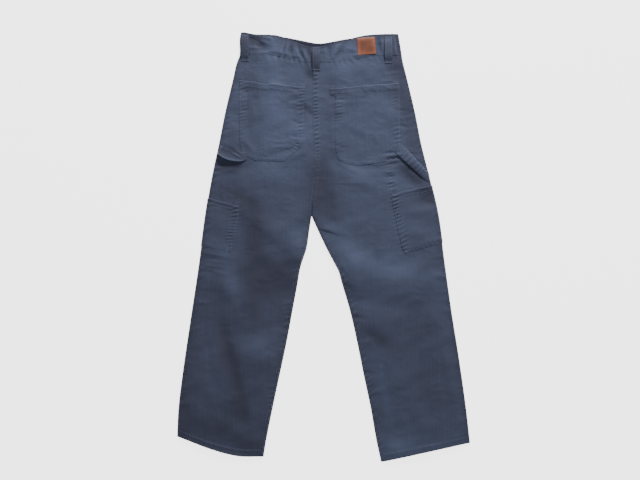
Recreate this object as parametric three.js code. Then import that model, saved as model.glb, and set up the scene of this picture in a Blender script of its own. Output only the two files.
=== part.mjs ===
// Work pants laid out flat on a table with their back side up.
// Sizes are in millimetres: X runs across the garment, Y towards the waist and Z up off the table.
// "down" is a distance along the garment from the top of the waistband towards the hems.
import * as THREE from 'three';

// Driving sizes of the whole garment
const garmentLength = 1075;
const crotchDown = 460;
const twillWall = 1.5;
const bandWall = 2.3;
const seamGap = 0.3;
const insideGap = 2.4;
const foldRound = 6;
const crotchRoll = 45;
const hemDepth = 18;
const hemExtra = 0.8;
const felledSeamRise = 0.7;
const felledSeamEnds = { from: 400, to: 440 };
const fullTurn = 90;

// The waist lies on the front belt loops and the button, and the front runs down to the table from there.
const waistLift = 2.4;
const liftEnds = { from: 95, to: 260 };

// The seam that joins the panels to the waistband, and both hems, from the outer edge (across 0) to the
// inner edge (across 1). A panel's rows are level between bendEnds and hemBendStarts.
const panelTop = 60;
const bendEnds = 200;
const hemBendStarts = 860;
const panelEnd = 1060;
const waistSeam = [
  { across: 0, left: 57.5, right: 58 },
  { across: 0.33, left: 55.5, right: 60.5 },
  { across: 0.5, left: 61, right: 66 },
  { across: 0.7, left: 69, right: 73 },
  { across: 0.85, left: 75, right: 76 },
  { across: 1, left: 76, right: 76 },
];
const hemLine = [
  { across: 0, left: 1012, right: 1028 },
  { across: 0.35, left: 1041, right: 1045 },
  { across: 0.7, left: 1060, right: 1061 },
  { across: 1, left: 1062, right: 1074.5 },
];

// The outline: outer edges of both legs, the seam down the middle of the seat, and both inseams.
const outseams = [
  { down: 1, left: -206, right: 186 },
  { down: 20, left: -209, right: 189 },
  { down: 55, left: -209, right: 195 },
  { down: 80, left: -218, right: 200 },
  { down: 120, left: -227, right: 210 },
  { down: 200, left: -246, right: 229 },
  { down: 280, left: -262, right: 245 },
  { down: 360, left: -279, right: 265 },
  { down: 460, left: -296, right: 288 },
  { down: 580, left: -312, right: 304 },
  { down: 700, left: -330, right: 321 },
  { down: 820, left: -348, right: 340 },
  { down: 940, left: -363, right: 357 },
  { down: 1030, left: -367, right: 367 },
];
const seatSeam = [
  { down: 0, x: -19 },
  { down: 200, x: -19 },
  { down: 295, x: -15 },
  { down: 360, x: -18 },
  { down: 420, x: -26 },
  { down: 460, x: -30 },
];
const inseams = [
  { down: 460, left: -30, right: -30 },
  { down: 500, left: -36, right: -12 },
  { down: 540, left: -42, right: 7 },
  { down: 580, left: -55, right: 28 },
  { down: 600, left: -60, right: 38 },
  { down: 625, left: -64, right: 45 },
  { down: 700, left: -78, right: 67 },
  { down: 780, left: -93, right: 85 },
  { down: 860, left: -110, right: 101 },
  { down: 940, left: -127, right: 118 },
  { down: 1020, left: -143, right: 132 },
  { down: 1075, left: -152, right: 144 },
];

// The waistband's top edge across the back and across the front behind it
const bandTop = [
  { x: -207, back: 1, front: 5 },
  { x: -179, back: 5.8, front: 8.5 },
  { x: -126, back: 8, front: 10 },
  { x: -101, back: 13.5, front: 12.5 },
  { x: -66, back: 26, front: 19.3 },
  { x: -34, back: 36, front: 25.8 },
  { x: -11, back: 36.5, front: 29 },
  { x: 16, back: 31, front: 25.8 },
  { x: 61, back: 19.5, front: 17.5 },
  { x: 104, back: 10, front: 12 },
  { x: 136, back: 6.8, front: 9.5 },
  { x: 187, back: 5, front: 8 },
];

// The largest folds of the back: where each is, its direction (0 across, 90 along the leg), how far it
// reaches each way, its half width, and how high it stands or how deep it sinks.
const folds = [
  { x: -66, down: 528, turn: -35, reach: 42, spread: 22, rise: 4.2 },
  { x: -112, down: 592, turn: 8, reach: 70, spread: 24, rise: -1.9 },
  { x: -229, down: 645, turn: 40, reach: 48, spread: 24, rise: 3 },
  { x: -164, down: 785, turn: 60, reach: 58, spread: 30, rise: 3 },
  { x: -228, down: 838, turn: 76, reach: 95, spread: 15, rise: -1.8 },
  { x: -270, down: 930, turn: 80, reach: 80, spread: 30, rise: 1.6 },
  { x: 66, down: 568, turn: 30, reach: 50, spread: 26, rise: 4.4 },
  { x: 196, down: 608, turn: 8, reach: 48, spread: 25, rise: 3.4 },
  { x: 104, down: 645, turn: 14, reach: 78, spread: 18, rise: -1.9 },
  { x: 190, down: 800, turn: 78, reach: 120, spread: 34, rise: 1.8 },
  { x: 300, down: 880, turn: 80, reach: 90, spread: 18, rise: -1.4 },
  { x: 6, down: 402, turn: 88, reach: 78, spread: 20, rise: -1.9 },
  { x: 30, down: 496, turn: 35, reach: 40, spread: 18, rise: 1.6 },
];

// Pieces that lie on the back. Each row of a pocket runs across it, with both of its ends, and extra is
// what its turned hem adds to the thickness.
const patchGap = 0.35;
const pocketWall = 1.4;
const backPockets = {
  left: [
    { startX: -210, startDown: 121, endX: -46, endDown: 139, extra: 0.9 },
    { startX: -210, startDown: 138, endX: -48, endDown: 155, extra: 0.8 },
    { startX: -210, startDown: 180, endX: -49, endDown: 190, extra: 0 },
    { startX: -210, startDown: 230, endX: -50, endDown: 236, extra: 0 },
    { startX: -208, startDown: 280, endX: -54, endDown: 272, extra: 0 },
    { startX: -200, startDown: 305, endX: -64, endDown: 293, extra: 0 },
    { startX: -170, startDown: 322, endX: -98, endDown: 324, extra: 0.3 },
  ],
  right: [
    { startX: 17, startDown: 142, endX: 189, endDown: 128, extra: 0.9 },
    { startX: 28, startDown: 158, endX: 190, endDown: 146, extra: 0.8 },
    { startX: 31, startDown: 195, endX: 191, endDown: 186, extra: 0 },
    { startX: 31, startDown: 245, endX: 191, endDown: 235, extra: 0 },
    { startX: 32, startDown: 293, endX: 191, endDown: 280, extra: 0 },
    { startX: 42, startDown: 314, endX: 190, endDown: 302, extra: 0 },
    { startX: 76, startDown: 332, endX: 168, endDown: 322, extra: 0.3 },
  ],
};
const toolPockets = {
  left: [
    { edgeDown: 416, innerX: -212, innerDown: 435, extra: 0.9 },
    { edgeDown: 430, innerX: -212, innerDown: 450, extra: 0.8 },
    { edgeDown: 462, innerX: -215, innerDown: 478, extra: 0 },
    { edgeDown: 500, innerX: -224, innerDown: 514, extra: 0 },
    { edgeDown: 536, innerX: -230, innerDown: 550, extra: 0.2 },
  ],
  right: [
    { edgeDown: 384, innerX: 170, innerDown: 405, extra: 0.9 },
    { edgeDown: 397, innerX: 171, innerDown: 422, extra: 0.8 },
    { edgeDown: 440, innerX: 180, innerDown: 466, extra: 0 },
    { edgeDown: 485, innerX: 190, innerDown: 512, extra: 0 },
    { edgeDown: 528, innerX: 200, innerDown: 555, extra: 0.2 },
  ],
};

// A strap sewn down at both ends stands off the panel between them: each row is a place along it, with
// both edges of the strap there and how far each edge stands off.
const strapWall = 1.4;
const hammerStraps = {
  left: [
    { upperX: -193, upperDown: 301, upperLift: 2.2, lowerX: -192, lowerDown: 318, lowerLift: 2.2 },
    { upperX: -199, upperDown: 301, upperLift: 2.5, lowerX: -197, lowerDown: 321, lowerLift: 2.4 },
    { upperX: -209, upperDown: 299, upperLift: 5.6, lowerX: -206, lowerDown: 324, lowerLift: 8.5 },
    { upperX: -223, upperDown: 296, upperLift: 6.4, lowerX: -221, lowerDown: 323, lowerLift: 10.5 },
    { upperX: -240, upperDown: 291, upperLift: 6.4, lowerX: -240, lowerDown: 319, lowerLift: 10.5 },
    { upperX: -252, upperDown: 286, upperLift: 5.0, lowerX: -255, lowerDown: 311, lowerLift: 8 },
    { upperX: -257, upperDown: 283, upperLift: 0.8, lowerX: -260, lowerDown: 306, lowerLift: 1.2 },
    { upperX: -259, upperDown: 281, upperLift: 0.4, lowerX: -262, lowerDown: 303, lowerLift: 0.5 },
  ],
  right: [
    { upperX: 195, upperDown: 283, upperLift: 2.2, lowerX: 177, lowerDown: 303, lowerLift: 2.2 },
    { upperX: 202, upperDown: 289, upperLift: 2.4, lowerX: 184, lowerDown: 310, lowerLift: 2.4 },
    { upperX: 208, upperDown: 294, upperLift: 5.4, lowerX: 190, lowerDown: 315, lowerLift: 5.8 },
    { upperX: 222, upperDown: 307, upperLift: 6.2, lowerX: 204, lowerDown: 329, lowerLift: 6.8 },
    { upperX: 240, upperDown: 327, upperLift: 6.2, lowerX: 221, lowerDown: 347, lowerLift: 6.8 },
    { upperX: 250, upperDown: 338, upperLift: 5.0, lowerX: 231, lowerDown: 357, lowerLift: 5.6 },
    { upperX: 254, upperDown: 343, upperLift: 0.6, lowerX: 236, lowerDown: 362, lowerLift: 0.6 },
    { upperX: 258, upperDown: 348, upperLift: 0.4, lowerX: 241, lowerDown: 368, lowerLift: 0.4 },
  ],
};

// Belt loops: strips along the garment with both ends sewn down and room for a belt between.
const loopWidth = 19;
const loopWall = 1.6;
const loopSlack = 5;
const loopShape = [
  { place: 0, lift: 0 },
  { place: 0.07, lift: 0 },
  { place: 0.14, lift: 0.85 },
  { place: 0.2, lift: 0.98 },
  { place: 0.5, lift: 1 },
  { place: 0.78, lift: 0.98 },
  { place: 0.84, lift: 0.8 },
  { place: 0.92, lift: 0 },
  { place: 1, lift: 0 },
];
const backLoops = [
  { name: 'belt_loop_back_left', x: -196, start: 7, end: 74, seamDown: 59, seam: 0 },
  { name: 'belt_loop_back_centre', x: -19, start: 38, end: 98, seamDown: 76, seam: felledSeamRise },
  { name: 'belt_loop_back_right', x: 162, start: 12, end: 80, seamDown: 62, seam: 0 },
];
const frontLoopWall = 1.5;
const frontLoops = [
  { name: 'belt_loop_front_left', x: -118, start: 11, end: 76 },
  { name: 'belt_loop_front_right', x: 84, start: 15, end: 80 },
];

// Leather patch on the waistband, waist button and fly zip
const patch = { x: 107, down: 35.5, width: 46, height: 41, turn: -4, wall: 1.4 };
const button = { x: -31, down: 55, radius: 8.5, rim: 1.6, dish: 5.5, height: 1.6 };
const zip = { top: 82, end: 225, tape: 28, tapeWall: 0.7, chain: 5, chainRise: 1.6 };

const colours = {
  twill: 0x4a556d,
  leather: 0x87573f,
  metal: 0x8b8780,
  zipTape: 0x3b4356,
};
const materials = {
  twill: new THREE.MeshStandardMaterial({ color: colours.twill, roughness: 0.85, metalness: 0 }),
  leather: new THREE.MeshStandardMaterial({ color: colours.leather, roughness: 0.6, metalness: 0 }),
  metal: new THREE.MeshStandardMaterial({ color: colours.metal, roughness: 0.4, metalness: 0.9 }),
  zip: new THREE.MeshStandardMaterial({ color: colours.zipTape, roughness: 0.7, metalness: 0 }),
};

const pants = new THREE.Group();
const radians = THREE.MathUtils.degToRad;
const mix = THREE.MathUtils.lerp;
const fade = THREE.MathUtils.smoothstep;
const upFrom = (down) => garmentLength / 2 - down;

// The value of one column of a table at a place between its rows, on a smooth curve through them.
function along(table, column, key, place) {
  const last = table.length - 1;
  if (place <= table[0][key]) {
    return table[0][column];
  }
  if (place >= table[last][key]) {
    return table[last][column];
  }
  const row = table.findIndex((entry) => entry[key] > place) - 1;
  const slope = (a, b) => (table[b][column] - table[a][column]) / (table[b][key] - table[a][key]);
  const step = table[row + 1][key] - table[row][key];
  const startSlope = slope(Math.max(row - 1, 0), row + 1) * step;
  const endSlope = slope(row, Math.min(row + 2, last)) * step;
  const t = (place - table[row][key]) / step;
  const start = table[row][column];
  const rest = table[row + 1][column] - start;
  return start + t * startSlope + t * t * (3 * rest - 2 * startSlope - endSlope)
    + t * t * t * (startSlope + endSlope - 2 * rest);
}

// The rows of a table with more rows worked in between them on the same smooth curve.
function finerRows(table, count) {
  const numbered = table.map((entry, index) => ({ ...entry, index }));
  return Array.from({ length: count + 1 }, (_, step) => {
    const place = (step / count) * (table.length - 1);
    const columns = Object.keys(table[0]);
    return Object.fromEntries(columns.map((key) => [key, along(numbered, key, 'index', place)]));
  });
}

const evenSteps = (count) => Array.from({ length: count + 1 }, (_, step) => step / count);

// Underside of the front, and the level of the seam where the back meets it at the sides
const frontHeight = (down) => waistLift * (1 - fade(down, liftEnds.from, liftEnds.to));
const seamHeight = (down) => frontHeight(down) + twillWall + seamGap;

// Height of the back's upper face: one flat tube's thickness, plus each fold as a soft oval hump or hollow.
function backHeight(x, down) {
  const flat = frontHeight(down) + 2 * twillWall + insideGap;
  const lowest = seamHeight(down) + twillWall;
  const relief = folds.reduce((sum, fold) => {
    const turn = radians(fold.turn);
    const dx = x - fold.x;
    const dy = down - fold.down;
    const lengthwise = (dx * Math.cos(turn) + dy * Math.sin(turn)) / fold.reach;
    const crosswise = (dy * Math.cos(turn) - dx * Math.sin(turn)) / fold.spread;
    return sum + fold.rise * Math.exp(-lengthwise * lengthwise - crosswise * crosswise);
  }, 0);
  return Math.max(flat + relief, lowest);
}

// Both edges of one leg's panels at a distance down, half a seam gap off the seat seam
function legEdges(side, down) {
  const outer = along(outseams, side, 'down', down);
  const halfGap = side === 'left' ? -seamGap / 2 : seamGap / 2;
  const seat = along(seatSeam, 'x', 'down', down);
  const inner = down < crotchDown ? seat : along(inseams, side, 'down', down);
  return { outer, inner: inner + halfGap };
}

// A row of a panel starts level and is bent to the waist seam at the top and to the hem at the end.
function bentDown(side, level, across) {
  const waist = along(waistSeam, side, 'across', across) - panelTop;
  const hem = along(hemLine, side, 'across', across) - panelEnd;
  return level + waist * (1 - fade(level, panelTop, bendEnds)) + hem * fade(level, hemBendStarts, panelEnd);
}

// A point of the back, moved out from its face. Turn goes from 0 at a panel's edge, where the cloth
// stands upright on the seam, to 90 on its flat; the seat seam stays flat and only rolls at the crotch.
function backPoint(side, down, column, out) {
  const { outer, inner } = legEdges(side, down);
  const inward = Math.sign(inner - outer);
  const atInner = column.across > 0.5;
  const edge = atInner ? inner : outer;
  const direction = atInner ? -inward : inward;
  const roll = atInner ? fade(down, crotchDown - crotchRoll, crotchDown) : 1;
  const cosine = Math.cos(radians(column.turn));
  const sine = Math.sin(radians(column.turn));
  const flatX = mix(outer + inward * foldRound, inner - inward * foldRound, column.across);
  const x = column.turn < fullTurn ? edge + direction * foldRound * (1 - cosine) : flatX;
  const crest = backHeight(x, down);
  const drop = roll * (crest - seamHeight(down)) * (1 - sine);
  const normal = new THREE.Vector2(-direction * roll * cosine, 1 - roll + roll * sine).normalize();
  return [x + out * normal.x, upFrom(down), crest - drop + out * normal.y];
}

// One closed piece of cloth from two grids of points, the face and its back, sewn round the edge.
function clothPiece(name, face, back, material) {
  const rows = face.length;
  const columns = face[0].length;
  const points = [...face.flat(), ...back.flat()];
  const onFace = (row, column) => row * columns + column;
  const onBack = (row, column) => (rows + row) * columns + column;
  const triangles = [];
  const quad = (a, b, c, d) => triangles.push([a, b, c], [a, c, d]);
  for (let row = 0; row + 1 < rows; row += 1) {
    for (let column = 0; column + 1 < columns; column += 1) {
      const right = column + 1;
      quad(onFace(row, column), onFace(row + 1, column), onFace(row + 1, right), onFace(row, right));
      quad(onBack(row, column), onBack(row, right), onBack(row + 1, right), onBack(row + 1, column));
    }
    const end = columns - 1;
    quad(onFace(row + 1, 0), onFace(row, 0), onBack(row, 0), onBack(row + 1, 0));
    quad(onFace(row, end), onFace(row + 1, end), onBack(row + 1, end), onBack(row, end));
  }
  for (let column = 0; column + 1 < columns; column += 1) {
    const end = rows - 1;
    quad(onFace(0, column), onFace(0, column + 1), onBack(0, column + 1), onBack(0, column));
    quad(onFace(end, column + 1), onFace(end, column), onBack(end, column), onBack(end, column + 1));
  }
  const corners = points.map((point) => new THREE.Vector3(...point));
  const volume = triangles.reduce((sum, [a, b, c]) => (
    sum + corners[a].dot(new THREE.Vector3().crossVectors(corners[b], corners[c]))), 0);
  const outward = volume > 0 ? triangles : triangles.map(([a, b, c]) => [a, c, b]);
  const geometry = new THREE.BufferGeometry();
  geometry.setAttribute('position', new THREE.Float32BufferAttribute(points.flat(), 3));
  geometry.setIndex(outward.flat());
  geometry.computeVertexNormals();
  addPiece(name, geometry, material);
}

function addPiece(name, geometry, material) {
  const mesh = new THREE.Mesh(geometry, material);
  mesh.name = name;
  pants.add(mesh);
}

// Columns across a panel: a rounded fold at the outer edge, the flat, and a rounded fold at the inner edge
const foldTurns = [0, 35, 65];
const outerFold = foldTurns.map((turn) => ({ across: 0, turn }));
const flatColumns = evenSteps(10).map((across) => ({ across, turn: fullTurn }));
const innerFold = foldTurns.map((turn) => ({ across: 1, turn })).reverse();
const panelColumns = [...outerFold, ...flatColumns, ...innerFold];
const panelLevels = [
  ...evenSteps(44).map((step) => mix(panelTop, panelEnd - hemDepth, step)),
  panelEnd - hemDepth + 1.5,
  panelEnd,
];

function backPanel(side) {
  const rowAt = (level, out) => panelColumns.map((column) => (
    backPoint(side, bentDown(side, level, column.across), column, out(column, level))));
  const raised = (column, level) => {
    const flatSeam = column.across > 0.5 && column.turn < fullTurn;
    return flatSeam ? felledSeamRise * (1 - fade(level, felledSeamEnds.from, felledSeamEnds.to)) : 0;
  };
  const inside = (column, level) => -twillWall - (level > panelEnd - hemDepth ? hemExtra : 0);
  const face = panelLevels.map((level) => rowAt(level, raised));
  const back = panelLevels.map((level) => rowAt(level, inside));
  clothPiece(`back_panel_${side}`, face, back, materials.twill);
}

// The front lies level on the table: the same outline as the back, with its middle seam down to the crotch.
function frontPoint(side, down, across, level) {
  const { outer, inner } = legEdges(side, down);
  return [mix(outer, inner, across), upFrom(down), frontHeight(down) + level];
}

const frontColumns = evenSteps(6);

function frontPanel(side) {
  const layer = (height) => panelLevels.map((level) => frontColumns.map((across) => (
    frontPoint(side, bentDown(side, level, across), across, height))));
  clothPiece(`front_panel_${side}`, layer(twillWall), layer(0), materials.twill);
}

// Waistband: the back one runs from side to side, and the front is in two halves that meet at the fly.
const bandFace = bandWall - twillWall;
const bandRows = [
  { rise: 0, full: 0.5 },
  { rise: 0.12, full: 0.9 },
  { rise: 0.5, full: 1 },
  { rise: 0.88, full: 0.9 },
  { rise: 1, full: 0.5 },
];

function bandDown(side, across, rise, layer) {
  const seam = along(waistSeam, side, 'across', across) - seamGap;
  const { outer, inner } = legEdges(side, panelTop);
  return mix(seam, along(bandTop, layer, 'x', mix(outer, inner, across)), rise);
}

function backWaistband() {
  const leftColumns = [...outerFold, ...flatColumns, { across: 1, turn: 0 }];
  const rightColumns = [...outerFold, ...flatColumns].reverse();
  const rowAt = (rise, out) => [
    ...leftColumns.map((column) => ['left', column]),
    ...rightColumns.map((column) => ['right', column]),
  ].map(([side, column]) => backPoint(side, bandDown(side, column.across, rise, 'back'), column, out));
  const face = bandRows.map(({ rise, full }) => rowAt(rise, full * bandFace));
  const back = bandRows.map(({ rise }) => rowAt(rise, -twillWall));
  clothPiece('waistband_back', face, back, materials.twill);
}

function frontWaistband(side) {
  const layer = (height) => evenSteps(3).map((rise) => frontColumns.map((across) => (
    frontPoint(side, bandDown(side, across, rise, 'front'), across, height))));
  const name = `waistband_front_${side}`;
  clothPiece(name, layer(twillWall), layer(twillWall - bandWall + seamGap), materials.twill);
}

// A point that lies a given distance above the back's face
const abovePoint = (x, down, lift) => [x, upFrom(down), backHeight(x, down) + lift];

function backPocket(side) {
  const rows = finerRows(backPockets[side], 14);
  const layer = (height) => rows.map((row) => evenSteps(8).map((place) => {
    const x = mix(row.startX, row.endX, place);
    const down = mix(row.startDown, row.endDown, place);
    return abovePoint(x, down, height(row));
  }));
  const outside = layer((row) => patchGap + pocketWall + row.extra);
  clothPiece(`back_pocket_${side}`, outside, layer(() => patchGap), materials.twill);
}

// A tool pocket starts in the side seam, follows the rounded fold of the leg, and ends on its flat.
function toolPocket(side) {
  const rows = finerRows(toolPockets[side], 9);
  const layer = (height) => rows.map((row) => {
    const aroundFold = outerFold.map((column) => backPoint(side, row.edgeDown, column, height(row)));
    const { outer, inner } = legEdges(side, row.edgeDown);
    const flatStart = outer + Math.sign(inner - outer) * foldRound;
    const onFlat = evenSteps(5).map((place) => (
      abovePoint(mix(flatStart, row.innerX, place), mix(row.edgeDown, row.innerDown, place), height(row))));
    return [...aroundFold, ...onFlat];
  });
  const outside = layer((row) => patchGap + pocketWall + row.extra);
  clothPiece(`tool_pocket_${side}`, outside, layer(() => patchGap), materials.twill);
}

function hammerStrap(side, name) {
  const rows = finerRows(hammerStraps[side], 21);
  const layer = (wall) => rows.map((row) => evenSteps(3).map((place) => abovePoint(
    mix(row.upperX, row.lowerX, place),
    mix(row.upperDown, row.lowerDown, place),
    mix(row.upperLift, row.lowerLift, place) + wall,
  )));
  clothPiece(name, layer(strapWall), layer(0), materials.twill);
}

function backLoop({ name, x, start, end, seam, seamDown }) {
  const layer = (wall) => loopShape.map(({ place, lift }) => {
    const down = mix(start, end, place);
    const under = mix(bandFace, seam, fade(down, seamDown, seamDown + 12));
    const height = under + patchGap + lift * loopSlack + wall;
    return [-0.5, 0, 0.5].map((part) => abovePoint(x + part * loopWidth, down, height));
  });
  clothPiece(name, layer(loopWall), layer(0), materials.twill);
}

// The front loops are pressed flat between the table and the waistband.
function frontLoop({ name, x, start, end }) {
  const layer = (height) => [start, end].map((down) => (
    [-0.5, 0.5].map((part) => [x + part * loopWidth, upFrom(down), height])));
  clothPiece(name, layer(frontLoopWall), layer(0), materials.twill);
}

function leatherPatch() {
  const turn = radians(patch.turn);
  const layer = (height) => evenSteps(4).map((row) => evenSteps(4).map((column) => {
    const sideways = (column - 0.5) * patch.width;
    const lengthways = (row - 0.5) * patch.height;
    const x = patch.x + sideways * Math.cos(turn) - lengthways * Math.sin(turn);
    const down = patch.down + sideways * Math.sin(turn) + lengthways * Math.cos(turn);
    return abovePoint(x, down, height);
  }));
  const under = bandFace + patchGap;
  clothPiece('leather_patch', layer(under + patch.wall), layer(under), materials.leather);
}

// The button is a shallow metal dish with a rim, and its face is on the table.
function waistButton() {
  const { radius, rim, dish, height } = button;
  const profile = [
    [0, 0.5],
    [dish, 0.4],
    [radius - rim, 0],
    [radius - 0.5, 0],
    [radius, 0.5],
    [radius, height - 0.3],
    [radius - 0.5, height],
    [0, height],
  ].map(([x, y]) => new THREE.Vector2(x, y));
  const geometry = new THREE.LatheGeometry(profile, 24);
  geometry.rotateX(Math.PI / 2);
  geometry.translate(button.x, upFrom(button.down), 0);
  addPiece('waist_button', geometry, materials.metal);
}

// The closed zip lies inside on the front's middle seam: flat tape with the chain standing up along it.
function flyZip() {
  const half = zip.tape / 2;
  const chain = zip.chain / 2;
  const section = [
    { x: -half, rise: zip.tapeWall },
    { x: -chain - 0.5, rise: zip.tapeWall },
    { x: -chain, rise: zip.chainRise },
    { x: chain, rise: zip.chainRise },
    { x: chain + 0.5, rise: zip.tapeWall },
    { x: half, rise: zip.tapeWall },
  ];
  const layer = (height) => evenSteps(8).map((step) => {
    const down = mix(zip.top, zip.end, step);
    const middle = along(seatSeam, 'x', 'down', down);
    return section.map(({ x, rise }) => [middle + x, upFrom(down), seamHeight(down) + height(rise)]);
  });
  clothPiece('fly_zip', layer((rise) => rise), layer(() => 0), materials.zip);
}

for (const side of ['left', 'right']) {
  frontPanel(side);
  backPanel(side);
  frontWaistband(side);
  backPocket(side);
  toolPocket(side);
}
hammerStrap('left', 'hammer_loop_left');
hammerStrap('right', 'hammer_loop_right');
backWaistband();
backLoops.forEach(backLoop);
frontLoops.forEach(frontLoop);
leatherPatch();
waistButton();
flyZip();

export default pants;
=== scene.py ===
import functools
import math
import bmesh
import bpy
import numpy as np
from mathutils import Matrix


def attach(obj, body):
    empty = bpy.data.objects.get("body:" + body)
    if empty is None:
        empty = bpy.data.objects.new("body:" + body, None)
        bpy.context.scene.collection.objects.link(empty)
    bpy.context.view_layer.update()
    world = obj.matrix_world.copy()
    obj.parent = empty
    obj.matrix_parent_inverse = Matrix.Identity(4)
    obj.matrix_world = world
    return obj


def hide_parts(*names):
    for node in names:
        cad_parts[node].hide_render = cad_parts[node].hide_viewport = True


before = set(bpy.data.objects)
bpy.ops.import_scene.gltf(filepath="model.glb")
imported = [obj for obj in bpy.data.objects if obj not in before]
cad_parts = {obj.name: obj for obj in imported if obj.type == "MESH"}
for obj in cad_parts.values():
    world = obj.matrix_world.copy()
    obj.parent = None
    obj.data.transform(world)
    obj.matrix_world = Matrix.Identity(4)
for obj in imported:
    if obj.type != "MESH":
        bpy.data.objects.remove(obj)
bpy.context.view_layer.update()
mm = 0.001
random = np.random.default_rng(11)
print("frame loaded:", len(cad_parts), "pieces")

# The garment lies on its front. Lengths are in millimetres until a mesh is made: x runs across, "down" runs
# from the top of the waistband to the hems, and heights are measured off the table.
garment = {
    "length": 1075, "crotchDown": 460, "wall": 1.5, "insideGap": 2.4, "foldRound": 6, "fullness": 2.6,
    "crotchRoll": 45, "waistLift": 2.4, "liftFrom": 95, "liftTo": 260, "panelTop": 60, "panelEnd": 1060,
    "topBendEnds": 200, "hemBendStarts": 860, "hemDepth": 18, "bandFace": 0.8, "middle": -19, "softEdge": 45,
    "hemZone": 985,
}
sides = ("left", "right")
outseams = {
    "down": [1, 20, 55, 80, 120, 200, 280, 360, 460, 580, 700, 820, 940, 1030],
    "left": [-206, -209, -209, -218, -227, -246, -262, -279, -296, -312, -330, -348, -363, -367],
    "right": [186, 189, 195, 200, 210, 229, 245, 265, 288, 304, 321, 340, 357, 367],
}
seatSeam = {"down": [0, 200, 295, 360, 420, 460], "x": [-19, -19, -15, -18, -26, -30]}
inseams = {
    "down": [460, 500, 540, 580, 600, 625, 700, 780, 860, 940, 1020, 1075],
    "left": [-30, -36, -42, -55, -60, -64, -78, -93, -110, -127, -143, -152],
    "right": [-30, -12, 7, 28, 38, 45, 67, 85, 101, 118, 132, 144],
}
waistSeam = {
    "across": [0, 0.33, 0.5, 0.7, 0.85, 1],
    "left": [57.5, 55.5, 61, 69, 75, 76],
    "right": [58, 60.5, 66, 73, 76, 76],
}
hemLine = {
    "across": [0, 0.35, 0.7, 1],
    "left": [1012, 1041, 1060, 1062],
    "right": [1028, 1045, 1061, 1074.5],
}
bandTop = {
    "x": [-207, -179, -126, -101, -66, -34, -11, 16, 61, 104, 136, 187],
    "back": [1, 5.8, 8, 13.5, 26, 36, 36.5, 31, 19.5, 10, 6.8, 5],
    "front": [5, 8.5, 10, 12.5, 19.3, 25.8, 29, 25.8, 17.5, 12, 9.5, 8],
}


# A smooth curve through a table: the value of one column at places along its key column.
def along(table, column, key, place):
    keys = np.array(table[key], float)
    values = np.array(table[column], float)
    slopes = np.empty_like(values)
    slopes[1:-1] = (values[2:] - values[:-2]) / (keys[2:] - keys[:-2])
    slopes[0] = (values[1] - values[0]) / (keys[1] - keys[0])
    slopes[-1] = (values[-1] - values[-2]) / (keys[-1] - keys[-2])
    place = np.clip(place, keys[0], keys[-1])
    row = np.clip(np.searchsorted(keys, place, side="right") - 1, 0, len(keys) - 2)
    step = keys[row + 1] - keys[row]
    t = (place - keys[row]) / step
    rest = values[row + 1] - values[row]
    first = slopes[row] * step
    second = slopes[row + 1] * step
    squared = t ** 2 * (3 * rest - 2 * first - second)
    return values[row] + t * first + squared + t ** 3 * (first + second - 2 * rest)


# A smooth step from 0 to 1 between two values.
def fade(start, end, value):
    t = np.clip((value - start) / (end - start), 0, 1)
    return t * t * (3 - 2 * t)


def mix(a, b, t):
    return a + (b - a) * t


# A hump that is 1 at a place and falls away to both sides as exp(-t^2), with t the distance over its reach.
def hump(value, place, reach):
    return np.exp(-((value - place) / reach) ** 2)


# Arrays of places and heights joined into one grid of points.
def onGrid(*parts):
    return np.stack(np.broadcast_arrays(*parts), -1)


# Where the outer or inner seams lie at a level, left and right.
def seamsAt(seams, down):
    return along(seams, "left", "down", down), along(seams, "right", "down", down)


# A table's rows at shares from 0 to 1 of its length, on the same smooth curve.
def rowsAt(table, shares):
    index = np.arange(len(next(iter(table.values()))))
    numbered = dict(table, index=index)
    return {column: along(numbered, column, "index", shares * index[-1]) for column in table}


def finerRows(table, count):
    return rowsAt(table, np.linspace(0, 1, count))


# Even places from 0 to 1 over a length, with closer ones beside both ends so that an edge can be rounded.
def edgedSteps(length, step):
    edge = np.array([0, 0.7, 1.6]) / length
    middle = np.linspace(3.2 / length, 1 - 3.2 / length, max(int(round(length / step)), 3))
    return np.concatenate([edge, middle, 1 - edge[::-1]])


# The nearest place on a line of points: how far along it is, how far off it to one side, and how steeply the
# line runs down the leg there.
def nearPath(x, down, path):
    path = np.asarray(path, float)
    start, step = path[:-1], np.diff(path, axis=0)
    lengths = np.hypot(step[:, 0], step[:, 1])
    before = np.concatenate([[0], np.cumsum(lengths)[:-1]])
    best = np.full(x.shape, 1e9)
    placeAlong = np.zeros(x.shape)
    steep = np.zeros(x.shape)
    for corner, way, length, offset in zip(start, step / lengths[:, None], lengths, before):
        rx, ry = x - corner[0], down - corner[1]
        reach = np.clip(rx * way[0] + ry * way[1], 0, length)
        off = np.hypot(rx - reach * way[0], ry - reach * way[1])
        side = np.where(rx * way[1] - ry * way[0] < 0, -off, off)
        closer = off < np.abs(best)
        best = np.where(closer, side, best)
        placeAlong = np.where(closer, offset + reach, placeAlong)
        steep = np.where(closer, abs(way[1]), steep)
    return placeAlong, best, steep


# Points at even distances along a line of points.
def evenPath(path, pitch):
    path = np.asarray(path, float)
    lengths = np.concatenate([[0], np.cumsum(np.hypot(*np.diff(path, axis=0).T))])
    places = np.linspace(0, lengths[-1], max(int(lengths[-1] / pitch), 1) + 1)
    return np.stack([np.interp(places, lengths, path[:, 0]), np.interp(places, lengths, path[:, 1])], 1)


# A line of points moved to one side by a distance.
def besidePath(path, distance):
    path = evenPath(path, 4)
    way = np.gradient(path, axis=0)
    way /= np.hypot(way[:, 0], way[:, 1])[:, None]
    return path + distance * np.stack([way[:, 1], -way[:, 0]], 1)


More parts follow.
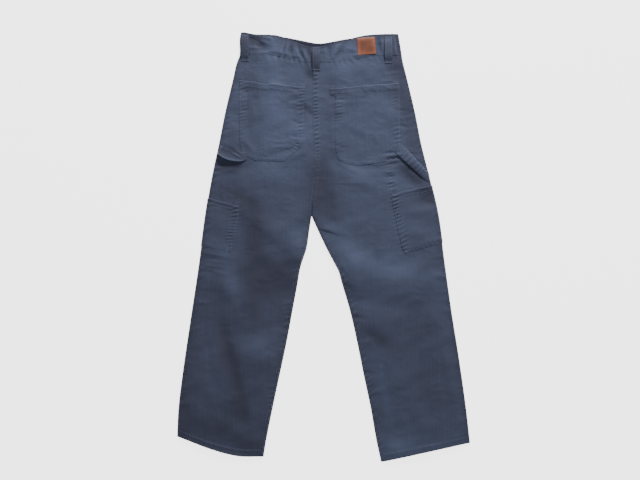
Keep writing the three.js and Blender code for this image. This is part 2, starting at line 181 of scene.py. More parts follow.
# Pockets and straps, row by row as they are sewn. A strap's lifts are its edges' heights over the cloth.
backPockets = {
    "left": {
        "startX": [-210, -210, -210, -210, -208, -200, -170],
        "startDown": [121, 138, 180, 230, 280, 305, 322],
        "endX": [-46, -48, -49, -50, -54, -64, -98],
        "endDown": [139, 155, 190, 236, 272, 293, 324],
    },
    "right": {
        "startX": [17, 18, 29, 31, 31, 32, 46, 84],
        "startDown": [142, 157, 163, 195, 250, 306, 324, 335],
        "endX": [189, 190, 190.3, 191, 191, 191, 190, 168],
        "endDown": [128, 145, 151, 186, 235, 280, 302, 322],
    },
}
toolPockets = {
    "left": {
        "edgeDown": [416, 430, 462, 500, 536],
        "innerX": [-212, -212, -215, -224, -230],
        "innerDown": [435, 450, 478, 514, 550],
    },
    "right": {
        "edgeDown": [384, 397, 440, 485, 528],
        "innerX": [170, 171, 180, 190, 200],
        "innerDown": [405, 422, 466, 512, 555],
    },
}
# Each strap's tone is painted: painted shade on the left strap's face and painted light on the right strap.
hammerStraps = {
    "left": {
        "upperX": [-193, -199, -209, -223, -240, -252, -257, -259],
        "upperDown": [301, 301, 299, 296, 291, 286, 283, 281],
        "upperLift": [2.2, 2.5, 5.4, 6.6, 7.0, 5.8, 2.0, 0.5],
        "lowerX": [-192, -198, -207, -221, -240, -256, -263, -266],
        "lowerDown": [319, 322, 324, 323.5, 319.5, 311.5, 306, 303],
        "lowerLift": [2.2, 2.4, 5.4, 8.0, 10.5, 10.5, 6, 1.4],
        "bow": [0, 0, -0.6, -1.4, -2.2, -2.2, -1.0, 0],
        "lip": 0.9, "puckers": 0.07, "toneWithPaintedLight": -0.14,
    },
    "right": {
        "upperX": [194, 201, 208, 223, 242, 255, 260, 264],
        "upperDown": [281, 288, 294, 309, 330, 344, 349, 353],
        "upperLift": [2.2, 2.4, 3.9, 4.7, 4.7, 2.9, 1.0, 0.2],
        "lowerX": [177, 185, 192, 208, 229, 247, 257, 266.5],
        "lowerDown": [300, 308, 314, 329, 348, 364, 371, 377],
        "lowerLift": [2.2, 2.3, 3.6, 4.1, 3.1, 1.1, 0.3, 0.1],
        "bow": [0, 0, 0.8, 1.6, 1.7, 0.9, 0.2, 0],
        "lip": 0.0, "puckers": 0.5, "toneWithPaintedLight": 0.12,
    },
}


# The sewn edge of a back pocket: down one side, along the bottom and up the other.
def pocketEdge(side):
    rows = finerRows(backPockets[side], 40)
    down = np.stack([rows["startX"], rows["startDown"]], 1)
    up = np.stack([rows["endX"], rows["endDown"]], 1)[::-1]
    return np.concatenate([down, up])


# The sewn edge of a tool pocket: down its inner side, then along the bottom to the leg's outer fold.
def toolPocketEdge(side):
    rows = finerRows(toolPockets[side], 24)
    inner = np.stack([rows["innerX"], rows["innerDown"]], 1)
    bottom = rows["edgeDown"][-1]
    inward = garment["foldRound"] if side == "left" else -garment["foldRound"]
    return np.concatenate([inner, [[along(outseams, side, "down", bottom) + inward, bottom]]])


# Creases on the back, given one by one: x, down, turn (0 across, 90 along the leg), reach, half width, rise
# and
# lean, which makes the lower flank steeper than the upper one.
creases = np.array([
    # seat and hips: the seat seam sinks between two fuller sides
    (6, 385, 90, 95, 26, -4.4, 0), (-40, 300, 78, 66, 26, 2.2, 0), (62, 392, 84, 80, 30, 2.4, 0),
    (11, 494, 18, 27, 9, 3.0, 0.5), (2, 462, 60, 26, 14, -1.4, 0), (-42, 450, -52, 44, 16, 2.0, 0.3),
    (-40, 198, 50, 22, 9, -2.6, 0), (-36, 112, 58, 18, 9, -2.6, 0), (-30, 92, 60, 20, 6, 1.4, 0),
    (16, 165, 88, 70, 13, -1.5, 0), (-100, 195, 88, 100, 42, 1.8, 0), (-54, 262, 25, 55, 24, 2.0, 0.2),
    (-140, 350, 80, 60, 34, 1.6, 0.2), (-128, 84, 84, 40, 22, 1.8, 0.2), (50, 104, 70, 34, 22, 1.8, 0.3),
    (96, 92, -4, 50, 16, 1.2, 0), (200, 195, 78, 105, 22, -2.2, 0), (-186, 236, 78, 60, 12, -0.9, 0),
    (-226, 240, 74, 44, 14, 1.4, 0), (-172, 170, 88, 46, 10, -1.0, 0), (86, 372, 20, 64, 20, 2.0, 0.2),
    (66, 342, 26, 30, 8, 1.3, 0.3), (-138, 372, 8, 50, 18, 1.2, 0.2),
    # left thigh and knee
    (-58, 560, 0, 52, 34, 5.2, 0.5), (-150, 482, 41, 110, 28, 3.0, 0.3), (-205, 420, 35, 70, 20, -1.6, 0),
    (-118, 650, 6, 84, 30, -2.2, 0), (-176, 560, 84, 70, 26, -2.4, 0), (-245, 560, 18, 36, 20, 1.4, 0.2),
    (-184, 455, 82, 26, 8, -1.6, 0), (-232, 650, 60, 60, 28, 3.6, 0.3), (-165, 808, 4, 56, 38, 4.2, 0),
    (-120, 740, -24, 60, 20, -1.6, 0), (-231, 835, 76, 96, 12, -2.6, 0), (-260, 850, 78, 110, 18, 2.6, 0.2),
    (-202, 910, 74, 80, 16, 1.6, 0), (-276, 968, 70, 60, 15, -1.4, 0), (-150, 946, 76, 80, 22, 1.5, 0),
    (-196, 1000, 24, 50, 20, 1.2, 0), (-104, 840, 70, 50, 12, -1.2, 0), (-330, 990, 80, 40, 12, -1.2, 0),
    (-276, 556, 10, 38, 4, 0.9, 0), (-270, 568, 6, 30, 4, -0.7, 0), (-264, 576, 10, 30, 3.6, 0.7, 0),
    (-276, 586, 8, 34, 4.4, 1.0, 0.3), (-290, 600, 6, 22, 3.6, -0.6, 0), (-262, 602, 14, 22, 4, 0.8, 0),
    (-300, 640, 0, 18, 4.4, 0.8, 0), (-306, 676, 6, 20, 4.4, 0.9, 0), (-322, 742, -8, 20, 6, 1.2, 0),
    (-334, 806, 10, 18, 6, 1.1, 0), (-348, 930, -10, 22, 7, 1.2, 0), (-82, 676, -18, 18, 6, 1.3, 0),
    (-92, 742, 12, 18, 6, -1.2, 0), (-126, 884, -14, 20, 7, 1.2, 0),
    # right thigh and knee
    (76, 598, 24, 76, 42, 5.4, 0), (200, 626, 7, 66, 42, 3.8, 0), (120, 676, 10, 92, 20, -2.0, 0.2),
    (130, 560, 70, 34, 12, -1.2, 0), (250, 690, -12, 70, 20, -1.4, 0), (150, 720, -20, 70, 26, 1.4, 0),
    (122, 760, 40, 32, 16, -2.2, 0.3), (190, 820, 76, 120, 32, 2.0, 0), (262, 800, 74, 100, 18, -1.5, 0),
    (304, 900, 78, 100, 15, -1.4, 0), (284, 870, 78, 90, 15, 1.5, 0), (160, 920, 82, 90, 18, -1.2, 0),
    (190, 1046, -10, 56, 26, 2.6, 0), (240, 970, 60, 70, 26, 1.4, 0), (54, 634, 30, 20, 8, -2.0, 0),
    (52, 592, 58, 16, 5, 1.4, 0), (84, 714, 10, 18, 5, -1.6, 0), (104, 776, -12, 20, 6, 1.3, 0),
    (108, 852, 14, 18, 5, -1.4, 0), (128, 900, -10, 18, 6, 1.2, 0), (300, 610, 6, 30, 7, 1.2, 0),
    (306, 560, -8, 26, 6, 1.2, 0), (314, 700, 10, 22, 7, 1.1, 0), (268, 420, -10, 34, 15, -4.2, 0),
    (248, 390, -14, 40, 9, 2.2, 0), (262, 446, -14, 44, 14, 1.8, 0), (232, 500, 30, 40, 16, 1.2, 0),
    # short puckers beside the pockets
    (-68, 146, 14, 17, 3.8, -0.9, 0), (-62, 157, -10, 11, 3.4, 0.9, 0), (-72, 170, -18, 19, 4, -0.8, 0),
    (-64, 181, 12, 12, 3.4, 0.8, 0), (-74, 194, 6, 20, 4.4, -1.0, 0), (-60, 206, -8, 12, 3.4, 0.7, 0),
    (-70, 226, 22, 15, 4, -0.8, 0), (-60, 246, 4, 12, 3.6, 0.9, 0), (-70, 262, 10, 18, 4, -0.9, 0),
    (-196, 150, 2, 12, 3.4, -1.0, 0), (-196, 170, -3, 12, 3.4, 1.0, 0), (-198, 196, 3, 12, 3.6, -1.0, 0),
    (168, 302, -4, 20, 3.4, -1.3, 0), (170, 309, -6, 21, 3.0, 1.3, 0), (172, 316, -8, 20, 3.2, -1.4, 0),
    (170, 323, -10, 20, 3.0, 1.2, 0), (172, 331, -10, 19, 3.4, -1.3, 0), (130, 330, 4, 24, 5, 1.1, 0),
    (44, 170, 6, 14, 3.6, -1.2, 0), (42, 200, -4, 14, 3.6, 1.1, 0), (46, 288, 8, 13, 3.4, -1.2, 0),
    (196, 196, 6, 14, 4, -1.2, 0), (208, 214, -10, 16, 5, 1.2, 0), (200, 236, 8, 14, 4, -1.3, 0),
    (164, 350, 0, 13, 4, 1.3, 0), (168, 362, -6, 13, 4, -1.3, 0), (170, 376, 4, 13, 4, 1.2, 0),
    (-120, 132, 10, 26, 5, 1.1, 0), (-100, 300, -14, 40, 8, -1.3, 0), (-70, 312, -30, 26, 8, 1.4, 0),
    (-190, 282, 50, 22, 7, 1.5, 0), (-214, 300, 40, 22, 7, 1.4, 0), (-40, 280, 74, 34, 9, -1.2, 0),
    (24, 240, 80, 46, 9, 1.4, 0), (30, 330, 70, 34, 10, -1.3, 0), (96, 250, 24, 40, 10, 1.0, 0),
    # hollows under both straps
    (-254, 330, 12, 20, 11, -2.0, 0), (-232, 345, 8, 34, 9, 1.8, 0), (224, 380, 40, 44, 18, -1.6, 0),
    (212, 346, 42, 40, 9, 1.2, 0), (-214, 334, -14, 20, 6, 1.0, 0),
])

# Where the twill's colour is paler or deeper, given in the same way with a tone in place of the rise. Part of
# it is wear from washing, and part is painted light and shade: painted shade in hollows, along folds and
# under the straps and pocket hems, and painted light on bulges and crests.
wearAndPaintedShade = np.array([
    (-136, 52, 84, 30, 20, 0.24), (-172, 22, 4, 40, 14, -0.34), (-34, 30, 0, 44, 16, -0.4),
    (-100, 14, 8, 40, 6, -0.2), (-124, 160, 90, 80, 32, 0.3), (-90, 250, 70, 60, 36, 0.16),
    (-46, 262, 20, 50, 24, 0.24), (-138, 334, 96, 45, 38, 0.14), (50, 92, 80, 36, 24, 0.3),
    (96, 42, 0, 40, 14, 0.12), (102, 352, 16, 84, 24, 0.28), (54, 532, 50, 74, 36, 0.36),
    (170, 590, 18, 78, 28, 0.3), (-59, 520, 86, 48, 22, 0.26), (-238, 558, 80, 30, 30, 0.12),
    (-230, 622, 78, 56, 20, 0.34), (-292, 622, 0, 26, 16, 0.12), (-164, 778, 0, 50, 30, 0.3),
    (184, 1038, -10, 56, 34, 0.36), (290, 1036, -12, 70, 20, 0.14), (104, 684, 30, 32, 18, 0.16),
    (-284, 830, 81, 130, 30, 0.16), (194, 602, 4, 42, 18, 0.26), (78, 574, 30, 34, 24, 0.16),
    (134, 572, 84, 26, 8, -0.16), (214, 720, 0, 60, 40, -0.1), (-168, 800, 0, 34, 22, 0.18),
    (-122, 130, 88, 90, 16, 0.14), (-96, 270, 20, 60, 30, 0.12), (-62, 250, 0, 30, 30, 0.1),
    (-241, 226, 80, 26, 16, 0.1), (104, 220, 0, 50, 44, 0.08), (190, 480, 10, 50, 26, 0.08),
    (-201, 44, 88, 48, 12, -0.25), (-29, 78, 84, 42, 20, -0.26), (176, 62, 80, 70, 34, -0.4),
    (203, 190, 78, 115, 24, -0.4), (-236, 298, -8, 36, 13, -0.22), (228, 292, 76, 50, 13, -0.1),
    (-9, 380, 91, 90, 36, -0.5), (24, 446, 80, 44, 20, -0.28), (20, 168, 90, 70, 17, -0.2),
    (-38, 112, 58, 18, 10, -0.3), (34, 150, 4, 18, 9, -0.16), (-49, 190, 60, 16, 10, -0.3),
    (-212, 416, 35, 74, 26, -0.36), (-174, 508, 85, 98, 28, -0.34), (-121, 616, 5, 80, 48, -0.4),
    (-176, 684, 90, 46, 18, -0.15), (130, 764, 34, 34, 20, -0.36), (160, 776, 20, 50, 24, -0.14),
    (152, 900, 78, 100, 14, 0.14), (82, 716, 60, 14, 10, -0.2), (262, 836, 80, 150, 56, -0.2),
    (-229, 824, 76, 108, 18, -0.3), (-208, 936, 80, 56, 20, -0.2), (-50, 200, 40, 20, 12, -0.24),
    (-184, 180, 88, 58, 9, -0.13), (-352, 968, 84, 40, 16, -0.4), (-272, 988, 12, 44, 24, -0.3),
    (-180, 1036, 12, 44, 16, -0.26), (236, 366, 46, 54, 20, -0.42), (216, 352, 44, 34, 16, -0.3),
    (262, 420, 0, 34, 22, -0.5), (-246, 336, 5, 34, 15, -0.4), (-214, 340, 0, 24, 10, -0.2),
    (-176, 124, 86, 84, 18, -0.22), (-104, 352, 0, 60, 28, 0.12), (54, 636, 20, 20, 10, -0.25),
    (286, 546, 80, 20, 12, -0.15),
])


# Puckers along seams: the line, the distance between ripples, their half width and height.
rippleLines = [
    ("seatSeam", 9.6, 5.2, 0.8), ("pocketLeft", 9.4, 9, 0.6), ("pocketRight", 9.4, 9, 0.8),
    ("toolLeft", 9, 11, 1.5), ("toolRight", 9.5, 11, 1.8), ("rightSeam", 9, 8, 0.85),
    ("outLeft", 17, 9, 0.3), ("outRight", 17, 9, 0.3), ("inLeft", 15, 9, 0.5), ("inRight", 15, 9, 0.5),
    ("hemLeft", 13, 11, 0.9), ("hemRight", 13, 11, 0.9), ("waist", 16, 10, 3.2),
]


# Lines across the garment: one above a hem, one along the waist seam, and one down a leg beside a seam.
def hemPath(side, rise):
    across = np.linspace(0, 1, 30)
    down = along(hemLine, side, "across", across) - rise
    return np.stack([mix(*legEdges(side, down), across), down], 1)


def waistPath(rise):
    across = np.linspace(0, 1, 30)
    parts = []
    for side, outer in zip(sides, seamsAt(outseams, garment["panelTop"])):
        down = along(waistSeam, side, "across", across) - rise
        parts.append(np.stack([mix(outer, garment["middle"], across), down], 1))
    return np.concatenate([parts[0], parts[1][-2::-1]])


def legPath(table, side, start, end, inset):
    down = np.linspace(start, end, 60)
    return np.stack([along(table, side, "down", down) + inset, down], 1)


# The edges of one half of the garment at a level: its outer seam, and the seat's seam or the inner seam.
def legEdges(side, down):
    seat = along(seatSeam, "x", "down", down)
    inner = np.where(down < garment["crotchDown"], seat, along(inseams, side, "down", down))
    return along(outseams, side, "down", down), inner


seatDown = np.linspace(78, 455, 40)
paths = {
    "seatSeam": np.stack([along(seatSeam, "x", "down", seatDown), seatDown], 1),
    "pocketLeft": besidePath(pocketEdge("left"), 8),
    "pocketRight": besidePath(pocketEdge("right"), 8),
    "toolLeft": besidePath(toolPocketEdge("left"), -8),
    "toolRight": besidePath(toolPocketEdge("right"), 7),
    "rightSeam": np.array([(160, 322), (163, 345), (170, 372), (173, 402)]),
    "outLeft": legPath(outseams, "left", 90, 1000, 7),
    "outRight": legPath(outseams, "right", 90, 1010, -7),
    "inLeft": legPath(inseams, "left", 480, 1050, -7),
    "inRight": legPath(inseams, "right", 480, 1060, 7),
    "hemLeft": hemPath("left", 9),
    "hemRight": hemPath("right", 9),
    "waist": waistPath(-4),
    "hemLine_left": hemPath("left", garment["hemDepth"])[::-1],
    "hemLine_right": hemPath("right", garment["hemDepth"]),
}
waveCount = 18
waves = []
for _ in range(waveCount):
    waves.append((random.uniform(0, math.tau), random.uniform(26, 95), random.uniform(0, math.tau)))
lattice = random.uniform(-1, 1, (97, 97))


# Each row is a soft oval spot: its height fades as exp(-a^2 - c^2), with a along it and c across.
def spots(table, x, down):
    total = np.zeros(x.shape)
    for middleX, middleDown, turn, reach, spread, height, *lean in table:
        cosine, sine = math.cos(math.radians(turn)), math.sin(math.radians(turn))
        dx, dy = x - middleX, down - middleDown
        lengthwise = (dx * cosine + dy * sine) / reach
        crosswise = (dy * cosine - dx * sine) / spread
        if lean and lean[0]:
            crosswise = crosswise / (1 - lean[0] * np.tanh(2 * crosswise))
        total += height * np.exp(-lengthwise ** 2 - crosswise ** 2)
    return total


# Ripples run square to a seam: a sine along it, uneven in pitch and height, fading to both sides.
def rippleRelief(x, down):
    total = np.zeros(x.shape)
    for number, (name, pitch, width, rise) in enumerate(rippleLines):
        path = paths[name]
        low, high = path.min(0) - 3 * width, path.max(0) + 3 * width
        near = (x > low[0]) & (x < high[0]) & (down > low[1]) & (down < high[1])
        if not near.any():
            continue
        place, off, steep = nearPath(x[near], down[near], path)
        phase = math.tau * place / pitch + 2.2 * np.sin(place / 19 + number) + 0.16 * off
        uneven = np.clip(0.62 + 0.85 * lumps(x[near], down[near], 24), 0.08, 1.3)
        uneven *= mix(0.12, 1, steep ** 2)
        if name == "seatSeam":
            uneven = (0.75 + 0.25 * uneven) * mix(1, 0.22, fade(285, 320, down[near]))
        if name in ("toolLeft", "toolRight"):
            uneven = mix(0.6 * steep ** 2, uneven, 0.55)
        total[near] += rise * uneven * np.sin(phase) * hump(off, 0, width)
    return total


# Soft unevenness everywhere: low sine waves in many directions, each as high as it is long.
def waverRelief(x, down):
    total = np.zeros(x.shape)
    for direction, length, start in waves:
        total += 0.0042 * length * np.sin(
            (x * math.cos(direction) + down * math.sin(direction)) * math.tau / length + start)
    return total * 0.5


# Random values on a lattice, joined smoothly. The lattice repeats, so it has no end.
def lumps(x, down, size):
    u, v = x / size + 40, down / size + 3
    column, row = np.floor(u).astype(int), np.floor(v).astype(int)
    a, b = fade(0, 1, u - column), fade(0, 1, v - row)

    def value(rowStep, columnStep):
        return lattice[(row + rowStep) % len(lattice), (column + columnStep) % len(lattice)]

    return mix(mix(value(0, 0), value(0, 1), a), mix(value(1, 0), value(1, 1), a), b)


# Fine crumpling: the creased lines where lumps change sign, in two sizes, most over the seat and the pockets.
def crumpleRelief(x, down):
    bentX = x + 9 * lumps(down, x, 41)
    bentDown = down + 9 * lumps(x, down, 37)
    large = 0.5 - np.sqrt(lumps(bentX * 0.8, bentDown, 19) ** 2 + 0.01)
    small = 0.5 - np.sqrt(lumps(bentX, bentDown * 1.2, 9) ** 2 + 0.02)
    share = mix(1.4, 0.9, fade(300, 480, down))
    return share * (0.7 * large + 0.32 * small)


# The seat seam is folded over and sewn flat, so it stands up as a low strip between two fine grooves.
def seamRelief(x, down):
    _, off, _ = nearPath(x, down, paths["seatSeam"])
    strip = fade(-8.6, -7.2, off) * (1 - fade(5.6, 7, off))
    grooves = 0.35 * hump(off, 7.8, 1.6) + 0.25 * hump(off, -9.2, 1.6)
    return (0.8 * strip - grooves) * (1 - fade(430, 455, down)) * fade(70, 80, down)


# How far each place near a hem lies above its sewn line, one call of a function for each side.
def nearHems(x, down, shape):
    total = np.zeros(x.shape)
    near = down > garment["hemZone"]
    if near.any():
        for side in sides:
            _, off, _ = nearPath(x[near], down[near], paths[f"hemLine_{side}"])
            total[near] += shape(side, x[near], down[near], off)
    return total


# The hem's sewn line presses a shallow groove into the leg's end.
def hemGroove(side, x, down, off):
    return 0.5 * hump(off, 2.8, 1.8) - 0.5 * hump(off, 0, 1.6)


# The front's height off the table: the waist stands up a little on the band's turnings.
def frontHeight(down):
    return garment["waistLift"] * (1 - fade(garment["liftFrom"], garment["liftTo"], down))


# Where back and front meet at a folded edge.
def seamHeight(down):
    return frontHeight(down) + garment["wall"] + 0.3


# The air inside a leg lifts its middle: nothing at the edges, the whole rise from a soft edge's width in.
def fullnessAt(x, down):
    left, right = seamsAt(outseams, down)
    innerLeft, innerRight = seamsAt(inseams, down)
    soft, crotch = garment["softEdge"], garment["crotchDown"]
    toInner = np.where(x < along(seatSeam, "x", "down", down), innerLeft - x, x - innerRight)
    inner = mix(1.0, fade(0, soft, toInner), fade(crotch - 60, crotch + 40, down))
    return garment["fullness"] * fade(0, soft, x - left) * fade(0, soft, right - x) * inner


# Height of the back's upper face, kept above the front inside by a soft floor.
def backHeight(x, down, fine=True):
    flat = frontHeight(down) + 2 * garment["wall"] + garment["insideGap"]
    relief = spots(creases, x, down) + waverRelief(x, down) + fullnessAt(x, down)
    if fine:
        relief = relief + rippleRelief(x, down) + seamRelief(x, down) + crumpleRelief(x, down)
        relief = relief + nearHems(x, down, hemGroove)
    lowest = seamHeight(down) + garment["wall"] + 0.1
    above = flat + relief - lowest
    return lowest + 0.35 * np.logaddexp(0, above / 0.35)


# The back's upper face at any place. Over a fold's last few millimetres it drops as a quarter circle.
def backSurface(side, x, down):
    outer, inner = legEdges(side, down)
    toOuter, toInner = np.abs(x - outer), np.abs(x - inner)
    roll = np.where(toInner < toOuter, crotchRoll(down), 1)
    cosine = np.clip(1 - np.minimum(toOuter, toInner) / garment["foldRound"], 0, 1)
    crest = backHeight(x, down)
    return crest - roll * (crest - seamHeight(down)) * (1 - np.sqrt(1 - cosine ** 2))


# Above the crotch the seat is flat at its middle seam, and below it each leg rolls over at the inner seam.
def crotchRoll(down):
    return fade(garment["crotchDown"] - garment["crotchRoll"], garment["crotchDown"], down)


# A panel's level rows are bent to the waist seam at the top and to the hem at the end.
def bentDown(side, level, across):
    waist = along(waistSeam, side, "across", across) - garment["panelTop"]
    hem = along(hemLine, side, "across", across) - garment["panelEnd"]
    topPart = 1 - fade(garment["panelTop"], garment["topBendEnds"], level)
    return level + waist * topPart + hem * fade(garment["hemBendStarts"], garment["panelEnd"], level)


# Points of the back moved out from its face. Turn goes from 0 at a panel's edge to 90 on its flat.
def backPoints(side, down, across, turn, out):
    outer, inner = legEdges(side, down)
    inward = 1 if side == "left" else -1
    atInner = across > 0.5
    edge = np.where(atInner, inner, outer)
    direction = np.where(atInner, -inward, inward)
    roll = np.where(atInner, crotchRoll(down), 1)
    cosine, sine = np.cos(np.radians(turn)), np.sin(np.radians(turn))
    rounding = garment["foldRound"]
    flatX = mix(outer + inward * rounding, inner - inward * rounding, across)
    x = np.where(turn < 90, edge + direction * rounding * (1 - cosine), flatX)
    crest = backHeight(x, down)
    drop = roll * (crest - seamHeight(down)) * (1 - sine)
    normalX, normalZ = -direction * roll * cosine, 1 - roll + roll * sine
    size = np.hypot(normalX, normalZ)
    place = onGrid(x + out * normalX / size, down, crest - drop + out * normalZ / size)
    return place, onGrid(x - direction * drop, down)


# From places across and down the garment to the shared frame's metres.
def inMetres(points):
    return np.stack([points[:, 0], garment["length"] / 2 - points[:, 1], points[:, 2]], 1) * mm


# A closed shell from two grids of points (x, down, height), with the weave's own map and the pale attribute
# in it, which holds wear and painted light and shade.
def clothShell(name, face, back, weave, pale):
    rows, columns = face.shape[:2]
    vertices = inMetres(np.concatenate([face.reshape(-1, 3), back.reshape(-1, 3)]))
    index = np.arange(rows * columns).reshape(rows, columns)
    under = index + rows * columns

    def strip(a, b, c, d):
        return np.stack([a.ravel(), b.ravel(), c.ravel(), d.ravel()], 1)

    quads = np.concatenate([
        strip(index[:-1, :-1], index[1:, :-1], index[1:, 1:], index[:-1, 1:]),
        strip(under[:-1, :-1], under[:-1, 1:], under[1:, 1:], under[1:, :-1]),
        strip(index[1:, 0], index[:-1, 0], under[:-1, 0], under[1:, 0]),
        strip(index[:-1, -1], index[1:, -1], under[1:, -1], under[:-1, -1]),
        strip(index[0, :-1], index[0, 1:], under[0, 1:], under[0, :-1]),
        strip(index[-1, 1:], index[-1, :-1], under[-1, :-1], under[-1, 1:]),
    ])
    if face[0, 0, 0] > face[0, -1, 0]:
        quads = quads[:, ::-1]
    piece = meshPiece(name, vertices, quads)
    mesh = piece.data
    flatMap = np.tile(weave.reshape(-1, 2) * mm, (2, 1))
    uv = mesh.uv_layers.new(name="weave")
    uv.data.foreach_set("uv", flatMap[quads.ravel()].ravel())
    paleness = mesh.attributes.new("pale", "FLOAT", "POINT")
    paleness.data.foreach_set("value", np.tile(np.broadcast_to(pale, (rows, columns)).ravel(), 2))
    mesh.set_sharp_from_angle(angle=math.radians(58))
    return piece


# A smooth piece in the part's one body.
def meshPiece(name, vertices, faces):
    mesh = bpy.data.meshes.new(name)
    mesh.from_pydata(vertices.tolist(), [], faces.tolist())
    mesh.polygons.foreach_set("use_smooth", [True] * len(mesh.polygons))
    mesh.update()
    piece = bpy.data.objects.new(name, mesh)
    bpy.context.scene.collection.objects.link(piece)
    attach(piece, "root")
    return piece


# Turns a closed piece's faces outwards, whichever way its grid runs.
def orient(piece):
    work = bmesh.new()
    work.from_mesh(piece.data)
    bmesh.ops.recalc_face_normals(work, faces=work.faces)
    work.to_mesh(piece.data)
    work.free()


# Distance from the garment's side edges, the inner legs too.
def toOutline(x, down):
    outer = nearer(x, seamsAt(outseams, down))
    return np.where(down > garment["crotchDown"], np.minimum(outer, nearer(x, seamsAt(inseams, down))), outer)


def nearer(x, places):
    return np.minimum(np.abs(x - places[0]), np.abs(x - places[1]))


# The hem's sewn line is painted pale, partly rubbed wear and partly a painted highlight on the groove's lit
# flank, with a painted shade strip under it.
hemPaintedShadeStrips = {"left": 0.18, "right": 0.05}


def hemWearAndPaintedLight(side, x, down, off):
    uneven = np.clip(0.75 + 0.7 * lumps(x, down, 34), 0.2, 1.3)
    return 0.36 * uneven * hump(off, 1.2, 1.6) - hemPaintedShadeStrips[side] * hump(off, 6, 2.4)


# How much of the pale colour each place takes: paler over the seat and thighs and towards the right, partly
# wear and partly painted light falloff; paler on each ripple's crest and darker in its trough, painted light
# and shade; painted shade along the folded outline edges.
def palenessAt(x, down):
    # paler towards the waist and the right: partly wear, partly painted light falloff
    hips = 1 - fade(120, 800, down)
    base = 0.16 + 0.36 * hips + 0.26 * fade(-340, 240, x) * (1 - 0.6 * hips)
    # painted shade along the outline edges, and painted light and shade on ripple crests and troughs
    base = base - 0.75 * np.exp(-toOutline(x, down) / 4.5) + 0.3 * rippleRelief(x, down)
    return np.clip(base + nearHems(x, down, hemWearAndPaintedLight) + spots(wearAndPaintedShade, x, down), 0, 1)


# Materials. A new node has its settings by name, and each input takes a number, a colour or another's output.
def addNode(tree, kind, inputs, **settings):
    node = tree.nodes.new("ShaderNode" + kind)
    for setting, value in settings.items():
        setattr(node, setting, value)
    connect(tree, node, inputs)
    return node.outputs


def connect(tree, node, inputs):
    for socket, value in inputs.items():
        if isinstance(value, bpy.types.NodeSocket):
            tree.links.new(value, node.inputs[socket])
        else:
            node.inputs[socket].default_value = value


def nodeMaterial(name):
    material = bpy.data.materials.new(name)
    material.use_nodes = True
    tree = material.node_tree
    return material, tree, tree.nodes["Principled BSDF"]


def noise(tree, vector, scale, detail=2):
    return addNode(tree, "TexNoise", {"Vector": vector, "Scale": scale, "Detail": detail})["Fac"]


def blend(tree, share, dark, light):
    return addNode(tree, "Mix", {"Factor": share, "A": dark, "B": light}, data_type="RGBA")["Result"]


def bump(tree, height, strength, distance, **under):
    inputs = {"Height": height, "Strength": strength, "Distance": distance * mm}
    return addNode(tree, "Bump", dict(inputs, **under))["Normal"]


twillLook = {
    "deep": (0.051, 0.054, 0.086, 1), "paleColour": (0.100, 0.122, 0.200, 1), "roughness": 0.82,
    "sheen": 0.18, "twillPitch": 0.9, "twillTurn": 62, "weaveBump": 0.35, "nap": 900,
}
zipLook = {
    "deep": (0.018, 0.022, 0.034, 1), "paleColour": (0.04, 0.048, 0.07, 1), "roughness": 0.8,
    "sheen": 0.1, "twillPitch": 0.7, "twillTurn": 45, "weaveBump": 0.4, "nap": 900,
}


# Twill: fine diagonal ribs across the threads, paler or deeper by the pale attribute, which holds wear and
# painted light and shade, and mottled like washed cotton, with clouds, streaks along the threads and specks
# that each add or take up to half their share.
def twillMaterial(name, look):
    material, tree, shader = nodeMaterial(name)
    place = addNode(tree, "TexCoord", {})["Object"]
    weave = addNode(tree, "UVMap", {}, uv_map="weave")["UV"]
    threads = addNode(tree, "Mapping", {"Vector": weave, "Scale": (260, 9, 1)})["Vector"]
    total = addNode(tree, "Attribute", {}, attribute_name="pale")["Fac"]
    for vector, scale, detail, share in ((place, 9, 5, 0.34), (threads, 1, 3, 0.28), (place, 420, 2, 0.3)):
        mottle = noise(tree, vector, scale, detail)
        centred = addNode(tree, "Math", {0: mottle, 1: share, 2: -share / 2}, operation="MULTIPLY_ADD")[0]
        total = addNode(tree, "Math", {0: total, 1: centred})[0]
    turn = (0, 0, math.radians(look["twillTurn"]))
    turned = addNode(tree, "Mapping", {"Vector": weave, "Rotation": turn})["Vector"]
    ribScale = math.tau / (20 * look["twillPitch"] * mm)
    ribs = addNode(tree, "TexWave", {"Vector": turned, "Scale": ribScale, "Distortion": 0.6, "Detail": 1})
    ribBump = bump(tree, ribs["Fac"], look["weaveBump"], 0.12)
    connect(tree, shader, {
        "Base Color": blend(tree, total, look["deep"], look["paleColour"]),
        "Normal": bump(tree, noise(tree, place, look["nap"], 3), 0.15, 0.3, Normal=ribBump),
        "Roughness": look["roughness"], "Sheen Weight": look["sheen"], "Sheen Roughness": 0.5,
        "Sheen Tint": (0.62, 0.72, 0.9, 1), "Specular IOR Level": 0.25,
    })
    return material


threadLook = {"colour": (0.115, 0.14, 0.195, 1), "dark": (0.06, 0.075, 0.11, 1)}


# Thread: two tones of spun cotton, with a fine twist.
def threadMaterial(name, look):
    material, tree, shader = nodeMaterial(name)
    twist = noise(tree, addNode(tree, "TexCoord", {})["Object"], 160)
    connect(tree, shader, {
        "Base Color": blend(tree, twist, look["dark"], look["colour"]), "Roughness": 0.6, "Sheen Weight": 0.2,
    })
    return material


leatherLook = {"dark": (0.10, 0.03, 0.018, 1), "light": (0.46, 0.16, 0.085, 1), "roughness": 0.5}


